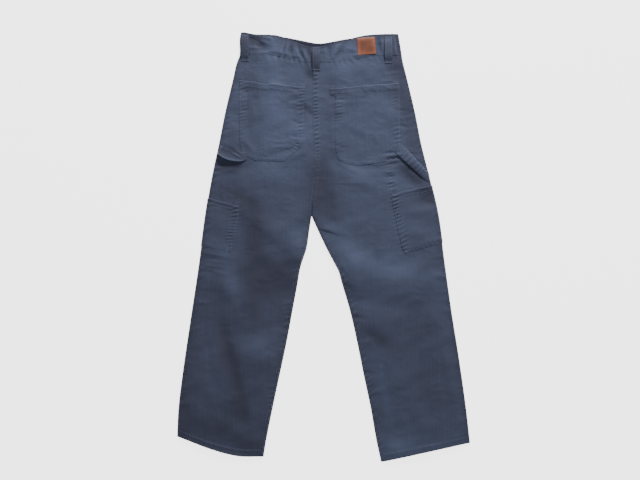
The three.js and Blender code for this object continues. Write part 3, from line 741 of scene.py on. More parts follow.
# Leather: cloudy tan with darker edges, small pores and a soft gloss.
def leatherMaterial(name, look):
    material, tree, shader = nodeMaterial(name)
    place = addNode(tree, "TexCoord", {})["Object"]
    cloud = addNode(tree, "Math", {0: noise(tree, place, 60, 6), 1: 1.3, 2: 0.1}, operation="MULTIPLY_ADD")[0]
    pale = addNode(tree, "Attribute", {}, attribute_name="pale")["Fac"]
    share = addNode(tree, "Math", {0: pale, 1: cloud}, operation="MULTIPLY")[0]
    pores = addNode(tree, "TexVoronoi", {"Vector": place, "Scale": 850})["Distance"]
    connect(tree, shader, {
        "Base Color": blend(tree, share, look["dark"], look["light"]),
        "Normal": bump(tree, pores, 0.35, 0.2), "Roughness": look["roughness"],
    })
    return material


# Metal of the button and the zip's chain: satin grey with fine scratches.
def metalMaterial(name, colour, roughness):
    material, tree, shader = nodeMaterial(name)
    scratch = noise(tree, addNode(tree, "TexCoord", {})["Object"], 700)
    connect(tree, shader, {
        "Base Color": colour, "Metallic": 1, "Roughness": roughness,
        "Normal": bump(tree, scratch, 0.15, 0.1),
    })
    return material


twill = twillMaterial("washed_twill", twillLook)
thread = threadMaterial("topstitch_thread", threadLook)
patchLeather = leatherMaterial("patch_leather", leatherLook)
zipCotton = twillMaterial("zip_cotton", zipLook)
buttonMetal = metalMaterial("button_metal", (0.3, 0.29, 0.27, 1), 0.45)
print("materials made")


# A piece's material, its slot, which is not used, and the nodes of the solids that it replaces.
def dress(piece, material, slot, *nodes):
    piece.data.materials.append(material)
    if nodes:
        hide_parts(*nodes)


# Panels: rows and columns are closer at the rounded folds than on the flat.
panel = {
    "rowStep": 1.7, "lowerStep": 3.0, "finerTo": 560, "columns": 81, "wall": 1.3, "hemExtra": 1.0,
    "foldTurns": np.array([0.0, 14, 28, 42, 56, 70, 80]), "area": {"left": 0.242, "right": 0.258},
}


def panelColumns(count):
    turns = panel["foldTurns"]
    across = np.concatenate([np.zeros(len(turns)), np.linspace(0, 1, count), np.ones(len(turns))])
    turn = np.concatenate([turns, np.full(count, 90.0), turns[::-1]])
    return across[None, :], turn[None, :]


def panelLevels(step, lowerStep):
    top, end = garment["panelTop"], garment["panelEnd"]
    upper = np.arange(top, panel["finerTo"], step)
    lower = np.linspace(panel["finerTo"], end - 1.6, int((end - panel["finerTo"]) / lowerStep))
    return np.concatenate([upper, lower, [end - 0.7, end]])[:, None]


# The back: its face follows the folded surface, and the inner side is one wall in, doubled at the hem.
def backPanel(side):
    across, turn = panelColumns(panel["columns"])
    level = panelLevels(panel["rowStep"], panel["lowerStep"])
    down = bentDown(side, level, across)
    edge = np.where(level > garment["panelEnd"] - 0.5, -0.35, 0.0) + 0 * across
    face, weave = backPoints(side, down, across, turn, edge)
    hemStart = garment["panelEnd"] - garment["hemDepth"]
    inward = panel["wall"] + panel["hemExtra"] * fade(hemStart - 1, hemStart + 1, level)
    back, _ = backPoints(side, down, across, turn, edge - inward)
    piece = clothShell(f"back_{side}", face, back, weave, palenessAt(face[..., 0], face[..., 1]))
    dress(piece, twill, "twill", f"back_panel_{side}")


# The front lies on the table with the same outline, and its seams are sewn flat. Its own creases rise off the
# table where the back leaves room for them.
front = {
    "columns": 92, "rowStep": 3.6, "lowerStep": 4.2, "floorGap": 0.3, "wall": 1.2, "room": 0.9, "most": 2.2,
}
frontCreases = np.array([
    (-110, 130, 84, 60, 20, 1.1, 0), (90, 150, 80, 70, 24, 1.2, 0), (-60, 300, 52, 60, 14, 1.3, 0),
    (30, 320, -48, 64, 16, 1.4, 0), (-140, 260, 30, 56, 12, 1.0, 0), (140, 280, -28, 60, 13, 1.1, 0),
    (-30, 420, 80, 50, 10, 0.9, 0), (-96, 410, 62, 50, 9, 1.2, 0), (36, 432, -60, 46, 10, 1.2, 0),
    (-180, 420, 20, 70, 14, 1.1, 0), (170, 430, -18, 66, 15, 1.2, 0), (-120, 560, 84, 90, 22, 1.4, 0),
    (120, 580, 76, 96, 24, 1.5, 0), (-190, 650, -16, 60, 14, 1.3, 0), (-150, 690, 10, 70, 12, 1.0, 0),
    (190, 660, 18, 64, 14, 1.3, 0), (150, 700, -8, 66, 12, 1.1, 0), (-220, 780, 74, 80, 18, 1.2, 0),
    (230, 790, 80, 86, 18, 1.2, 0), (-150, 850, 66, 60, 12, 1.0, 0), (160, 870, 84, 70, 14, 1.1, 0),
    (-270, 930, 78, 60, 14, 1.1, 0), (280, 940, 76, 64, 15, 1.0, 0), (-220, 1000, -12, 50, 12, 1.0, 0),
    (240, 1010, 10, 56, 13, 1.1, 0), (-76, 200, 10, 40, 10, 0.8, 0), (60, 210, -8, 44, 9, 0.9, 0),
])


# The front's under face: creases up to a limit, only as high as the back's inner side leaves room for.
def frontLow(x, down):
    rise = spots(frontCreases, x, down) + 0.5 * waverRelief(x, down) + 0.35 * crumpleRelief(x + 300, down)
    lowest = frontHeight(down) + front["floorGap"]
    room = backHeight(x, down, fine=False) - panel["wall"] - front["room"] - front["wall"] - lowest
    left, right = seamsAt(outseams, down)
    rise = np.clip(rise, 0, front["most"]) * fade(0, 20, np.minimum(x - left, right - x))
    return lowest + np.minimum(rise, np.maximum(room, 0))


def frontPanel(side):
    across = np.linspace(0, 1, front["columns"])[None, :]
    down = bentDown(side, panelLevels(front["rowStep"], front["lowerStep"]), across)
    edges = legEdges(side, down)
    x = mix(*edges, across)
    low = frontLow(x, down)
    under = onGrid(x, down, low + 0.5 * np.exp(-nearer(x, edges) / 1.2))
    upper = onGrid(x, down, low + front["wall"])
    piece = clothShell(f"front_{side}", upper, under, onGrid(x, down), palenessAt(x, down))
    dress(piece, twill, "twill", f"front_panel_{side}")


for side in sides:
    backPanel(side)
    frontPanel(side)
print("panels made")


# Waistband: a flat strip of doubled twill, puckered along its lower half at the left of the middle.
band = {"height": 48, "rows": 26, "columns": 80, "out": 0.8, "wall": 1.3, "inset": 2}
bandCreases = np.array([
    (-160, 30, 64, 22, 11, -2.0, 0), (-122, 42, 84, 22, 13, 1.5, 0.2), (-86, 58, 8, 26, 7, 0.8, 0),
    (-105, 50, 108, 16, 4.5, 1.7, 0), (-99, 47, 106, 15, 3.5, -1.4, 0), (-93, 46, 106, 16, 4.5, 1.6, 0),
    (-82, 52, 96, 14, 4, -1.4, 0), (-73, 50, 84, 14, 4, 1.0, 0), (-65, 52, 74, 15, 4.5, 1.7, 0),
    (-56, 58, 66, 14, 4.5, -1.6, 0), (-46, 60, 70, 14, 4, 1.2, 0), (-140, 16, 10, 22, 6, 1.2, 0),
    (-128, 12, 60, 10, 5, -1.8, 0), (-36, 56, 80, 14, 5, -1.4, 0), (-28, 50, 84, 16, 4, 0.9, 0),
    (-176, 22, 30, 16, 6, -1.6, 0), (-150, 26, 20, 18, 6, 1.2, 0), (30, 50, 120, 26, 7, 1.6, 0),
    (46, 46, 118, 24, 7, -1.2, 0), (62, 42, 12, 34, 9, 1.0, 0), (138, 34, 84, 18, 5, -1.6, 0),
    (146, 30, 88, 18, 4, 1.2, 0), (178, 34, 84, 24, 4, 1.0, 0), (186, 34, 84, 24, 4, -0.9, 0),
    (-180, 30, 86, 24, 4, -0.9, 0), (-172, 40, 4, 16, 4, 0.9, 0), (14, 52, 88, 16, 4, -1.1, 0),
    (4, 52, 88, 16, 3.5, 1.0, 0), (90, 58, -6, 26, 5, 0.8, 0),
])


# How far down the waist seam lies at a place across the garment.
def waistSeamDown(x):
    middle = garment["middle"]
    left, right = seamsAt(outseams, garment["panelTop"])
    onLeft = along(waistSeam, "left", "across", (x - left) / (middle - left))
    onRight = along(waistSeam, "right", "across", (right - x) / (right - middle))
    return np.where(x < middle, onLeft, onRight)


# The band's creases are held down where it is sewn to the seat.
def bandRelief(x, down):
    return 1.8 * spots(bandCreases, x, down) * mix(0.3, 1, fade(0, 11, waistSeamDown(x) - down))


# The back's half laps over the seat's edge, so no light passes through the seam.
def bandDown(side, across, rise, layer):
    seam = along(waistSeam, side, "across", across) + (0.4 if layer == "back" else -0.2)
    outer, inner = legEdges(side, np.full(np.shape(across), garment["panelTop"]))
    top = along(bandTop, layer, "x", mix(outer, inner, across))
    return mix(seam, top, rise)


# The back band is one strip from two halves, each from its outer fold to the middle, and two sewn lines press
# it in near both edges. One more column at the middle joins the halves.
def backWaistband():
    turns, columns = panel["foldTurns"], band["columns"]
    rise = edgedSteps(band["height"], band["height"] / band["rows"])[:, None]
    edge = np.minimum(rise, 1 - rise) * band["height"]
    faces, backs, weaves = [], [], []
    for side in sides:
        across = np.concatenate([np.zeros(len(turns)), np.linspace(0, 1, columns)])[None, :]
        turn = np.concatenate([turns, np.full(columns, 90.0)])[None, :]
        if side == "left":
            across = np.append(across, 1)[None, :]
            turn = np.append(turn, 0)[None, :]
        down = bandDown(side, across, rise, "back") + 0 * turn
        out = band["out"] * (0.3 + 0.7 * fade(0, 1.8, edge)) - 0.3 * hump(edge, 3.2, 1.3) + 0 * across
        face, weave = backPoints(side, down, across, turn, out)
        back, _ = backPoints(side, down, across, turn, 0 * out - band["wall"])
        lift = bandRelief(face[..., 0], face[..., 1]) * np.where(turn < 90, 0.3, 1.0)
        face[..., 2] += lift
        back[..., 2] += np.maximum(lift, -1.0)
        order = 1 if side == "left" else -1
        for parts, grid in ((faces, face), (backs, back), (weaves, weave)):
            parts.append(grid[:, ::order])
    face, back, weave = (np.concatenate(parts, 1) for parts in (faces, backs, weaves))
    # The band is painted paler on its crease crests and darker in their troughs, as painted light and shade.
    # A pale line along its lower edge is partly rubbed wear and partly a painted highlight, and its top edge
    # is painted dark as painted shade.
    pale = palenessAt(face[..., 0], face[..., 1]) + 0.09 * bandRelief(face[..., 0], face[..., 1])
    pale += 0.24 * hump(rise * band["height"], 0, 3.2) - 1.1 * np.exp(-(1 - rise) * band["height"] / 2.6)
    piece = clothShell("waistband", face[::-1], back[::-1], weave[::-1, :, ::-1], pale[::-1])
    dress(piece, twill, "twill", "waistband_back")


# Where the back's edge dips, the front's edge rises a little and shows above it.
def frontShown(x):
    return fade(-110, -70, x) * (1 - fade(40, 75, x))


def frontLift(x, rise):
    return 4.2 * frontShown(x) * fade(0.55, 1, rise) ** 1.5


def frontWaistband(side):
    rise = edgedSteps(band["height"], 4)[:, None]
    across = np.linspace(0, 1, 60)[None, :]
    down = bandDown(side, across, rise, "front")
    x = mix(*legEdges(side, down), across)
    rounding = 0.4 * np.exp(-np.minimum(rise, 1 - rise) * band["height"])
    base = frontHeight(down) + frontLift(x, rise)
    upper = onGrid(x, down, base + garment["wall"] - rounding)[::-1]
    under = onGrid(x, down, base - 0.5 + rounding)[::-1]
    # The part of the front band that shows above the back's dip is painted dark, as painted shade under the
    # back band's edge.
    pale = palenessAt(x, down) * (1 - frontShown(x) * fade(0.3, 0.6, rise))
    piece = clothShell(f"waistband_front_half_{side}", upper, under, onGrid(x, down)[::-1], pale[::-1])
    dress(piece, twill, "twill", f"waistband_front_{side}")


backWaistband()
for side in sides:
    frontWaistband(side)
print("waistband made")

# Pockets
pocket = {
    "gap": 0.15, "wall": 0.95, "hem": 14.5, "hemExtra": 0.55, "step": 2.0, "width": 165, "waveReach": 30,
    "toolWidth": 90, "toolLength": 122,
}


# A pocket's face over the panel, by the distances from its edge and its mouth: a rounded edge, a thicker hem
# and a low welt between two pressed lines.
def pocketOut(edge, mouth):
    rounded = 0.35 + 0.65 * np.sqrt(np.clip(1 - (1 - np.clip(edge / 1.6, 0, 1)) ** 2, 0, 1))
    hem = pocket["hemExtra"] * (1 - fade(pocket["hem"] - 1.2, pocket["hem"] + 0.6, mouth))
    press = 0.22 * (hump(edge, 3, 1.2) + hump(edge, 9, 1.2))
    welt = 0.25 * fade(2, 4, edge) * (1 - fade(9, 11, edge))
    return pocket["gap"] + (pocket["wall"] + hem) * rounded + (welt - press) * fade(0, 1, edge)


# A pocket's hem is paler along its edge and its sewn lines, which is rubbed wear, and painted dark just under
# it as painted shadow under the hem.
def mouthWearAndPaintedShade(mouth):
    pale = 0.2 * hump(mouth, 0, 2.5) + 0.12 * hump(mouth, 7.5, 1.6) + 0.12 * hump(mouth, 13, 1.8)
    return pale - 0.26 * hump(mouth, 18, 3)


# The left pocket's mouth has stretched: it dips near its middle and rises beside the dip.
def mouthWave(side, across):
    if side == "right":
        return 0.8 * np.sin(9 * across) * np.sin(np.pi * across)
    return 2.6 * hump(across, 0.37, 0.09) - 1.4 * hump(across, 0.56, 0.1)


# A pocket's mouth stands off the panel at its middle.
def mouthSag(mouth, across):
    return 0.9 * hump(mouth, 2, 10) * np.sin(np.pi * across) ** 2


def backPocket(side):
    rows = finerRows(backPockets[side], 126)
    across = edgedSteps(pocket["width"], pocket["step"])[None, :]
    x = mix(rows["startX"][:, None], rows["endX"][:, None], across)
    down = mix(rows["startDown"][:, None], rows["endDown"][:, None], across)
    mouth = down - mix(rows["startDown"][0], rows["endDown"][0], across)
    down = down + mouthWave(side, across) * np.exp(-mouth / pocket["waveReach"])
    _, off, _ = nearPath(x, down, pocketEdge(side))
    edge = np.abs(off)
    edge[:, [0, -1]] = 0
    edge[-1] = 0
    out = pocketOut(np.where(mouth < 1.5, np.minimum(edge, mouth), edge), mouth)
    base = backHeight(x, down) + mouthSag(mouth, across)
    face, back = onGrid(x, down, base + out), onGrid(x, down, base + pocket["gap"])
    pale = palenessAt(x, down) + 0.22 * hump(edge, 0, 2.2) + mouthWearAndPaintedShade(mouth)
    piece = clothShell(f"seat_pocket_{side}", face, back, onGrid(x, down), np.clip(pale, 0, 1))
    dress(piece, twill, "twill", f"back_pocket_{side}")


# A tool pocket rolls over the outer fold with the panel and lies flat from there to its inner edge.
def toolPocket(side):
    rows = finerRows(toolPockets[side], 62)
    inward = 1 if side == "left" else -1
    edgeDown, innerX, innerDown = (rows[column][:, None] for column in ("edgeDown", "innerX", "innerDown"))
    outer, _ = legEdges(side, edgeDown)
    across = edgedSteps(pocket["toolWidth"], pocket["step"])[None, 2:]
    across = (across - across[0, 0]) / (1 - across[0, 0])
    x = mix(outer + inward * garment["foldRound"], innerX, across)
    down = mix(edgeDown, innerDown, across)
    share = np.linspace(0, 1, len(edgeDown))[:, None]
    mouth = share * pocket["toolLength"]
    edge = np.minimum((1 - across) * pocket["toolWidth"], (1 - share) * pocket["toolLength"])
    out = pocketOut(np.minimum(edge, np.where(mouth < 1.5, mouth, 99)), mouth)
    base = backHeight(x, down)
    turn = panel["foldTurns"][None, :] + 0 * edgeDown
    fold = (side, edgeDown + 0 * turn, 0 * turn, turn)
    foldFace, foldWeave = backPoints(*fold, out[:, :1] + 0 * turn)
    foldBack, _ = backPoints(*fold, pocket["gap"] + 0 * turn)
    face = np.concatenate([foldFace, onGrid(x, down, base + out)], 1)
    back = np.concatenate([foldBack, onGrid(x, down, base + pocket["gap"])], 1)
    weave = np.concatenate([foldWeave, onGrid(x, down)], 1)
    pale = palenessAt(face[..., 0], face[..., 1])
    pale[:, turn.shape[1]:] += 0.22 * hump(edge, 0, 2.2) + mouthWearAndPaintedShade(mouth)
    piece = clothShell(f"thigh_pocket_{side}", face, back, weave, np.clip(pale, 0, 1))
    dress(piece, twill, "twill", f"tool_pocket_{side}")


for side in sides:
    backPocket(side)
    toolPocket(side)
print("pockets made")

# Straps and loops
strap = {"wall": 1.4, "width": 28, "rows": 110, "length": 85, "puckerPitch": 5.5}


# A fold across the left strap's sewn end, and its shaded side.
strapFolds = [(-218, 309, 32, 11, 3.0, 1.7, 0.3), (-222, 300, 30, 14, 4, -0.8, 0)]


# How far the back drops below its crest where it rolls over a fold.
def foldDrop(side, x, down):
    return backHeight(x, down) - backSurface(side, x, down)


# A strap at shares of its length and width: place on the cloth, upper and lower height, and its tone, which
# is painted light and shade with rubbed pale edges. Its two edges follow their own lines, puckers cross it,
# and the left one's free lower edge has a raised lip with a painted highlight.
def strapShape(side, share, across):
    look = hammerStraps[side]
    rows = rowsAt({column: values for column, values in look.items() if isinstance(values, list)}, share)
    x = mix(rows["upperX"], rows["lowerX"], across)
    down = mix(rows["upperDown"], rows["lowerDown"], across)
    lift = mix(rows["upperLift"], rows["lowerLift"], across) + 4 * across * (1 - across) * rows["bow"]
    edge = np.minimum(across, 1 - across) * strap["width"]
    place = share * strap["length"] + 0 * x
    wave = np.sin(place * math.tau / strap["puckerPitch"] + 1.6 * np.sin(place / 9) + 2 * across)
    middle = fade(8, 24, place) * (1 - fade(strap["length"] - 8, strap["length"], place))
    thick = strap["wall"] * (0.4 + 0.6 * fade(0, 1.6, edge)) - 0.25 * hump(edge, 3.4, 1.1)
    thick = thick + look["puckers"] * wave * middle * fade(0, 2, edge)
    thick = thick + look["lip"] * fade(0.82, 0.93, across) * middle + 1.1 * spots(strapFolds, x, down)
    under = backHeight(x, down, fine=False) - foldDrop(side, x, down) + lift
    # Painted tone: each strap's own painted shade or light, rubbed pale edges, painted light and shade on the
    # fold, and a painted highlight along the left strap's lip.
    toneWithPaintedLight = look["toneWithPaintedLight"] + 0.2 * hump(edge, 0, 1.8) + 0.3 * spots(strapFolds, x, down)
    return x, down, under + thick, under, toneWithPaintedLight + 0.7 * look["lip"] * fade(0.86, 0.95, across)


def hammerStrap(side):
    share = np.linspace(0, 1, strap["rows"])[:, None]
    across = edgedSteps(strap["width"], 1.4)[None, :]
    x, down, top, under, toneWithPaintedLight = strapShape(side, share, across)
    order = -1 if side == "left" else 1
    face, back = onGrid(x, down, top)[::order], onGrid(x, down, under)[::order]
    weave = onGrid(across * strap["width"], share * strap["length"])[::order]
    pale = np.clip(palenessAt(x, down) + toneWithPaintedLight, 0, 1)[::order]
    piece = clothShell(f"hammer_strap_{side}", face, back, weave, pale)
    orient(piece)
    dress(piece, twill, "twill", f"hammer_loop_{side}")


loops = {
    "width": 19, "wall": 1.2, "slack": 4.6,
    "place": [0, 0.05, 0.1, 0.2, 0.32, 0.5, 0.66, 0.8, 0.91, 0.96, 1],
    "lift": [0, 0, 0.2, 0.66, 0.94, 1, 0.92, 0.56, 0.06, 0, 0],
}
# Each loop's tone is painted light and shade: the centre loop is painted dark, the left one slightly dark and
# the right one light.
backLoops = {
    "left": {"x": -196, "start": 7, "end": 74, "seamDown": 59, "under": 0, "toneWithPaintedLight": -0.05},
    "centre": {"x": -19, "start": 38, "end": 98, "seamDown": 76, "under": 0.8, "toneWithPaintedLight": -0.25},
    "right": {"x": 162, "start": 12, "end": 80, "seamDown": 62, "under": 0, "toneWithPaintedLight": 0.1},
}


def loopHeight(spot, x, down):
    place = (down - spot["start"]) / (spot["end"] - spot["start"])
    under = mix(garment["bandFace"] + 0.2, 0.1, fade(spot["seamDown"], spot["seamDown"] + 12, down))
    lift = np.maximum(along(loops, "lift", "place", place), 0) * loops["slack"]
    return backHeight(x, down, fine=False) + np.maximum(under, spot["under"]) + 0.35 + lift


# A belt loop's places, how far each lies inside its edge, and the two raised ribs between its sewn lines.
def loopGrid(spot, rowStep, columnStep):
    rows = edgedSteps(spot["end"] - spot["start"], rowStep)[:, None]
    columns = edgedSteps(loops["width"], columnStep)[None, :]
    x = spot["x"] + (columns - 0.5) * loops["width"] + 0 * rows
    down = mix(spot["start"], spot["end"], rows) + 0 * columns
    edge = np.minimum(np.minimum(columns, 1 - columns) * loops["width"], np.minimum(rows, 1 - rows) * 60)
    return x, down, edge, np.cos((columns - 0.5) * math.tau * 2.5) * fade(1, 3, edge)


def beltLoop(place, spot):
    x, down, edge, ribs = loopGrid(spot, 1.3, 1.4)
    base = loopHeight(spot, x, down)
    out = loops["wall"] * (0.35 + 0.65 * fade(0, 1.5, edge)) + 0.35 * ribs
    face, back = onGrid(x, down, base + out), onGrid(x, down, base)
    # The raised ribs are painted paler and the grooves between them darker, as painted light and shade, and
    # each loop adds its own painted tone.
    pale = np.clip(palenessAt(x, down) + 0.105 * ribs + spot["toneWithPaintedLight"], 0, 1)
    piece = clothShell(f"belt_loop_{place}", face, back, onGrid(x, down), pale)
    orient(piece)
    dress(piece, twill, "twill", f"belt_loop_back_{place}")


for side in sides:
    hammerStrap(side)
for place, spot in backLoops.items():
    beltLoop(place, spot)
print("straps and loops made")


# Leather patch, bare, with rounded corners and a rubbed edge.
patch = {"x": 107, "down": 36, "width": 46, "height": 43, "turn": -4, "wall": 1.4, "corner": 3, "gap": 0.75}


# A place on the patch, measured from its middle and turned with it.
def onPatch(a, b):
    cosine, sine = math.cos(math.radians(patch["turn"])), math.sin(math.radians(patch["turn"]))
    return patch["x"] + a * cosine - b * sine, patch["down"] + a * sine + b * cosine


def leatherPatch():
    halfWidth, halfHeight = patch["width"] / 2, patch["height"] / 2
    a = (2 * edgedSteps(patch["width"], 1.2)[None, :] - 1) * halfWidth
    b = (2 * edgedSteps(patch["height"], 1.2)[:, None] - 1) * halfHeight
    # corners are drawn in to a small radius
    overA = np.clip(np.abs(a) - (halfWidth - patch["corner"]), 0, None)
    overB = np.clip(np.abs(b) - (halfHeight - patch["corner"]), 0, None)
    reach = np.maximum(np.hypot(overA, overB), 1e-6)
    shrink = np.where(reach > 1e-6, np.maximum(overA, overB) / reach, 1)
    a = np.sign(a) * (np.abs(a) - overA * (1 - shrink))
    b = np.sign(b) * (np.abs(b) - overB * (1 - shrink))
    x, down = onPatch(a, b)
    edge = np.clip(np.minimum(halfWidth - np.abs(a), halfHeight - np.abs(b)), 0, None)
    base = backHeight(x, down, fine=False) + garment["bandFace"] + patch["gap"]
    out = patch["wall"] * (0.5 + 0.5 * fade(0, 1.4, edge)) - 0.25 * hump(edge, 2.6, 0.9)
    pale = 0.35 + 0.65 * hump(edge, 0, 9) * fade(0, 1.6, edge)
    piece = clothShell("patch", onGrid(x, down, base + out), onGrid(x, down, base), onGrid(x, down), pale)
    orient(piece)
    dress(piece, patchLeather, "patch_leather", "leather_patch")


leatherPatch()

# Trim of the hidden front: pressed belt loops, a fastened button and a closed zip between the layers.
frontLoops = {
    "wall": 1.2, "low": 0.3, "edgeRise": 0.25,
    "left": {"x": -118, "start": 11, "end": 76},
    "right": {"x": 84, "start": 15, "end": 80},
}
button = {"x": -31, "down": 55, "turns": 48, "profile": [
    (0, 0.62), (3.2, 0.6), (4.9, 0.5), (5.4, 0.3), (5.9, 0.1), (6.4, 0.02), (7.3, 0), (7.9, 0.08),
    (8.3, 0.28), (8.5, 0.6), (8.5, 1.2), (8.3, 1.45), (7.9, 1.6), (0, 1.6)]}
zipper = {
    "top": 82, "end": 225, "tape": 28, "tapeWall": 0.7, "chain": 5, "rise": 1.6, "pitch": 2.2, "tooth": 1.25,
}


def frontLoop(side):
    spot = frontLoops[side]
    x, down, edge, ribs = loopGrid(spot, 1.5, 1.2)
    low = frontLoops["low"] - 0.16 * ribs + frontLoops["edgeRise"] * (1 - fade(0, 1.4, edge))
    upper, under = onGrid(x, down, frontLoops["low"] + frontLoops["wall"]), onGrid(x, down, low)
    piece = clothShell(f"front_belt_loop_{side}", upper, under, onGrid(x, down), palenessAt(x, down))
    orient(piece)
    dress(piece, twill, "twill", f"belt_loop_front_{side}")


# The button is its profile turned round its middle, closed by a point at either end.
def waistButton():
    turn = np.linspace(0, math.tau, button["turns"], endpoint=False)
    rings = [(r * math.cos(a), r * math.sin(a), z) for r, z in button["profile"][1:-1] for a in turn]
    first, last = button["profile"][0], button["profile"][-1]
    points = np.concatenate([rings, [(0, 0, first[1]), (0, 0, last[1])]])
    points += (button["x"], garment["length"] / 2 - button["down"], 0)
    count = button["turns"]
    faces = []
    for ring in range(len(button["profile"]) - 3):
        for k in range(count):
            a, b = ring * count + k, ring * count + (k + 1) % count
            faces += [(a, b, b + count), (a, b + count, a + count)]
    top = (len(button["profile"]) - 3) * count
    for k in range(count):
        faces += [(len(rings), (k + 1) % count, k), (len(rings) + 1, top + k, top + (k + 1) % count)]
    piece = meshPiece("fastened_button", points * mm, np.array(faces))
    piece.data.set_sharp_from_angle(angle=math.radians(40))
    orient(piece)
    dress(piece, buttonMetal, "button_metal", "waist_button")


# The tape is one strip, and the chain's teeth mesh in turn from both sides between two end stops.
def flyZip():
    rows = np.linspace(0, 1, 96)[:, None]
    columns = edgedSteps(zipper["tape"], 1.4)[None, :]
    down = mix(zipper["top"], zipper["end"], rows) + 0 * columns
    off = (columns - 0.5) * zipper["tape"] + 0 * rows
    x = along(seatSeam, "x", "down", down) + off
    bead = 0.25 * np.exp(-((np.abs(off) - zipper["chain"] / 2 - 0.6) / 0.6) ** 2)
    top = seamHeight(down) + zipper["tapeWall"] + bead - 0.15 * np.cos(off * math.tau / 1.9)
    face = np.stack([x, down, top], -1)
    back = np.stack([x, down, seamHeight(down) + 0.05], -1)
    tape = clothShell("zip_tape", face, back, np.stack([x, down], -1), 0 * x)
    orient(tape)
    dress(tape, zipCotton, "zip_tape", "fly_zip")
    places = np.arange(zipper["top"] + 6, zipper["end"] - 5, zipper["pitch"] / 2)
    blocks = []
    for number, place in enumerate(places):
        side = 1 if number % 2 else -1
        halfLength, rise = zipper["tooth"] / 2, zipper["rise"] - 0.15
        blocks.append((side * 0.75, place, zipper["chain"] / 2 - 0.2, halfLength, rise))
    for place in (zipper["top"] + 3.5, zipper["end"] - 3.5):
        blocks.append((0, place, zipper["chain"] / 2 + 0.3, 1.6, zipper["rise"]))
    vertices, faces = [], []
    for offset, place, halfWidth, halfLength, rise in blocks:
        middle = along(seatSeam, "x", "down", np.array(place)) + offset
        low = seamHeight(place) + 0.3
        base = len(vertices)
        for z, shrink in ((low, 1), (low + rise - 0.6, 1), (low + rise - 0.3, 0.7)):
            for a, b in ((-1, -1), (1, -1), (1, 1), (-1, 1)):
                lengthwise = garment["length"] / 2 - place + b * halfLength * shrink
                vertices.append((middle + a * halfWidth * shrink, lengthwise, z))
        faces += [(base, base + 1, base + 2), (base, base + 2, base + 3)]
        faces += [(base + 8, base + 10, base + 9), (base + 8, base + 11, base + 10)]
        for ring in (0, 4):
            for k in range(4):
                a, b = base + ring + k, base + ring + (k + 1) % 4
                faces += [(a, b, b + 4), (a, b + 4, a + 4)]
    chain = meshPiece("zip_chain", np.array(vertices) * mm, np.array(faces))
    chain.data.set_sharp_from_angle(angle=math.radians(30))
    orient(chain)
    dress(chain, buttonMetal, "button_metal", "fly_zip")


for side in sides:
    frontLoop(side)
waistButton()
flyZip()
print("patch and hidden trim made")


# Sewing. Each stitch is a small bead of thread that dips into the cloth at both ends: two tips and two rings
# of four points. Rows of them follow the seams at the cloth's own height.
sewing = {
    "pitch": 3.4, "length": 2.7, "width": 0.95, "rise": 0.34, "underRise": 0.22,
    "barPitch": 0.8, "barLength": 2.4, "barWidth": 0.8,
}
fly = {"top": 80, "bend": 205, "depth": 32, "reach": 40, "lines": (0, 6)}
beadPoints = np.array(
    [(-0.5, 0, -0.9)] + [(a, b, c) for a in (-0.27, 0.27) for b, c in ((-0.5, 0), (0, 1), (0.5, 0), (0, -1))]
    + [(0.5, 0, -0.9)])
beadFaces = np.array(
    [(0, 2, 1), (0, 3, 2), (0, 4, 3), (0, 1, 4), (9, 5, 6), (9, 6, 7), (9, 7, 8), (9, 8, 5)]
    + [(1 + k, 1 + (k + 1) % 4, 5 + (k + 1) % 4) for k in range(4)]
    + [(1 + k, 5 + (k + 1) % 4, 5 + k) for k in range(4)])


def beads(centres, ways, surface, length, width, rise=None):
    across = np.stack([-ways[:, 1], ways[:, 0]], 1)
    alongWay, sideWay = beadPoints[:, 0] * length, beadPoints[:, 1] * width
    spot = centres[:, None] + ways[:, None] * alongWay[None, :, None]
    spot = spot + across[:, None] * sideWay[None, :, None]
    height = surface(spot[..., 0], spot[..., 1]) + beadPoints[None, :, 2] * (rise or sewing["rise"])
    return np.concatenate([spot, height[..., None]], 2)


def stitchRow(path, surface, rise=None):
    points = evenPath(path, sewing["pitch"])
    ways = np.gradient(points, axis=0)
    ways /= np.maximum(np.hypot(ways[:, 0], ways[:, 1]), 1e-6)[:, None]
    jitter = random.normal(0, 0.12, points.shape)
    return beads(points + jitter, ways, surface, sewing["length"], sewing["width"], rise)


# A bar of close stitches laid side by side between two points.
def barTack(start, end, surface):
    points = evenPath([start, end], sewing["barPitch"])
    way = np.array([end[1] - start[1], start[0] - end[0]], float)
    way /= np.hypot(*way)
    ways = np.tile(way, (len(points), 1)) + random.normal(0, 0.08, points.shape)
    return beads(points, ways, surface, sewing["barLength"], sewing["barWidth"])


# All the stitches of one part of the garment as one mesh.
def sewnPiece(name, groups):
    points = np.concatenate(groups)
    count = len(points)
    faces = (beadFaces[None] + len(beadPoints) * np.arange(count)[:, None, None]).reshape(-1, 3)
    piece = meshPiece(name, inMetres(points.reshape(-1, 3)), faces)
    orient(piece)
    dress(piece, thread, "twill")
    return count


# A surface moved up by a height.
def raised(surface, height):
    return lambda x, down: surface(x, down) + height


# Two sewn lines along a belt loop.
def loopSides(spot, surface, rise=None):
    places = (spot["x"] - 5.4, spot["x"] + 5.4)
    return [stitchRow([(x, spot["start"] + 3), (x, spot["end"] - 3)], surface, rise) for x in places]


def bandSurface(x, down):
    side = "left" if np.mean(x) < garment["middle"] else "right"
    return backSurface(side, x, down) + bandRelief(x, down) + band["out"] - 0.1


# A line along the back band at a share of its height, inside both outer folds.
def bandLine(part):
    x = np.linspace(-210, 210, 500)
    down = mix(waistSeamDown(x), along(bandTop, "back", "x", x), part)
    left, right = seamsAt(outseams, down)
    return np.stack([x, down], 1)[(x > left + band["inset"]) & (x < right - band["inset"])]


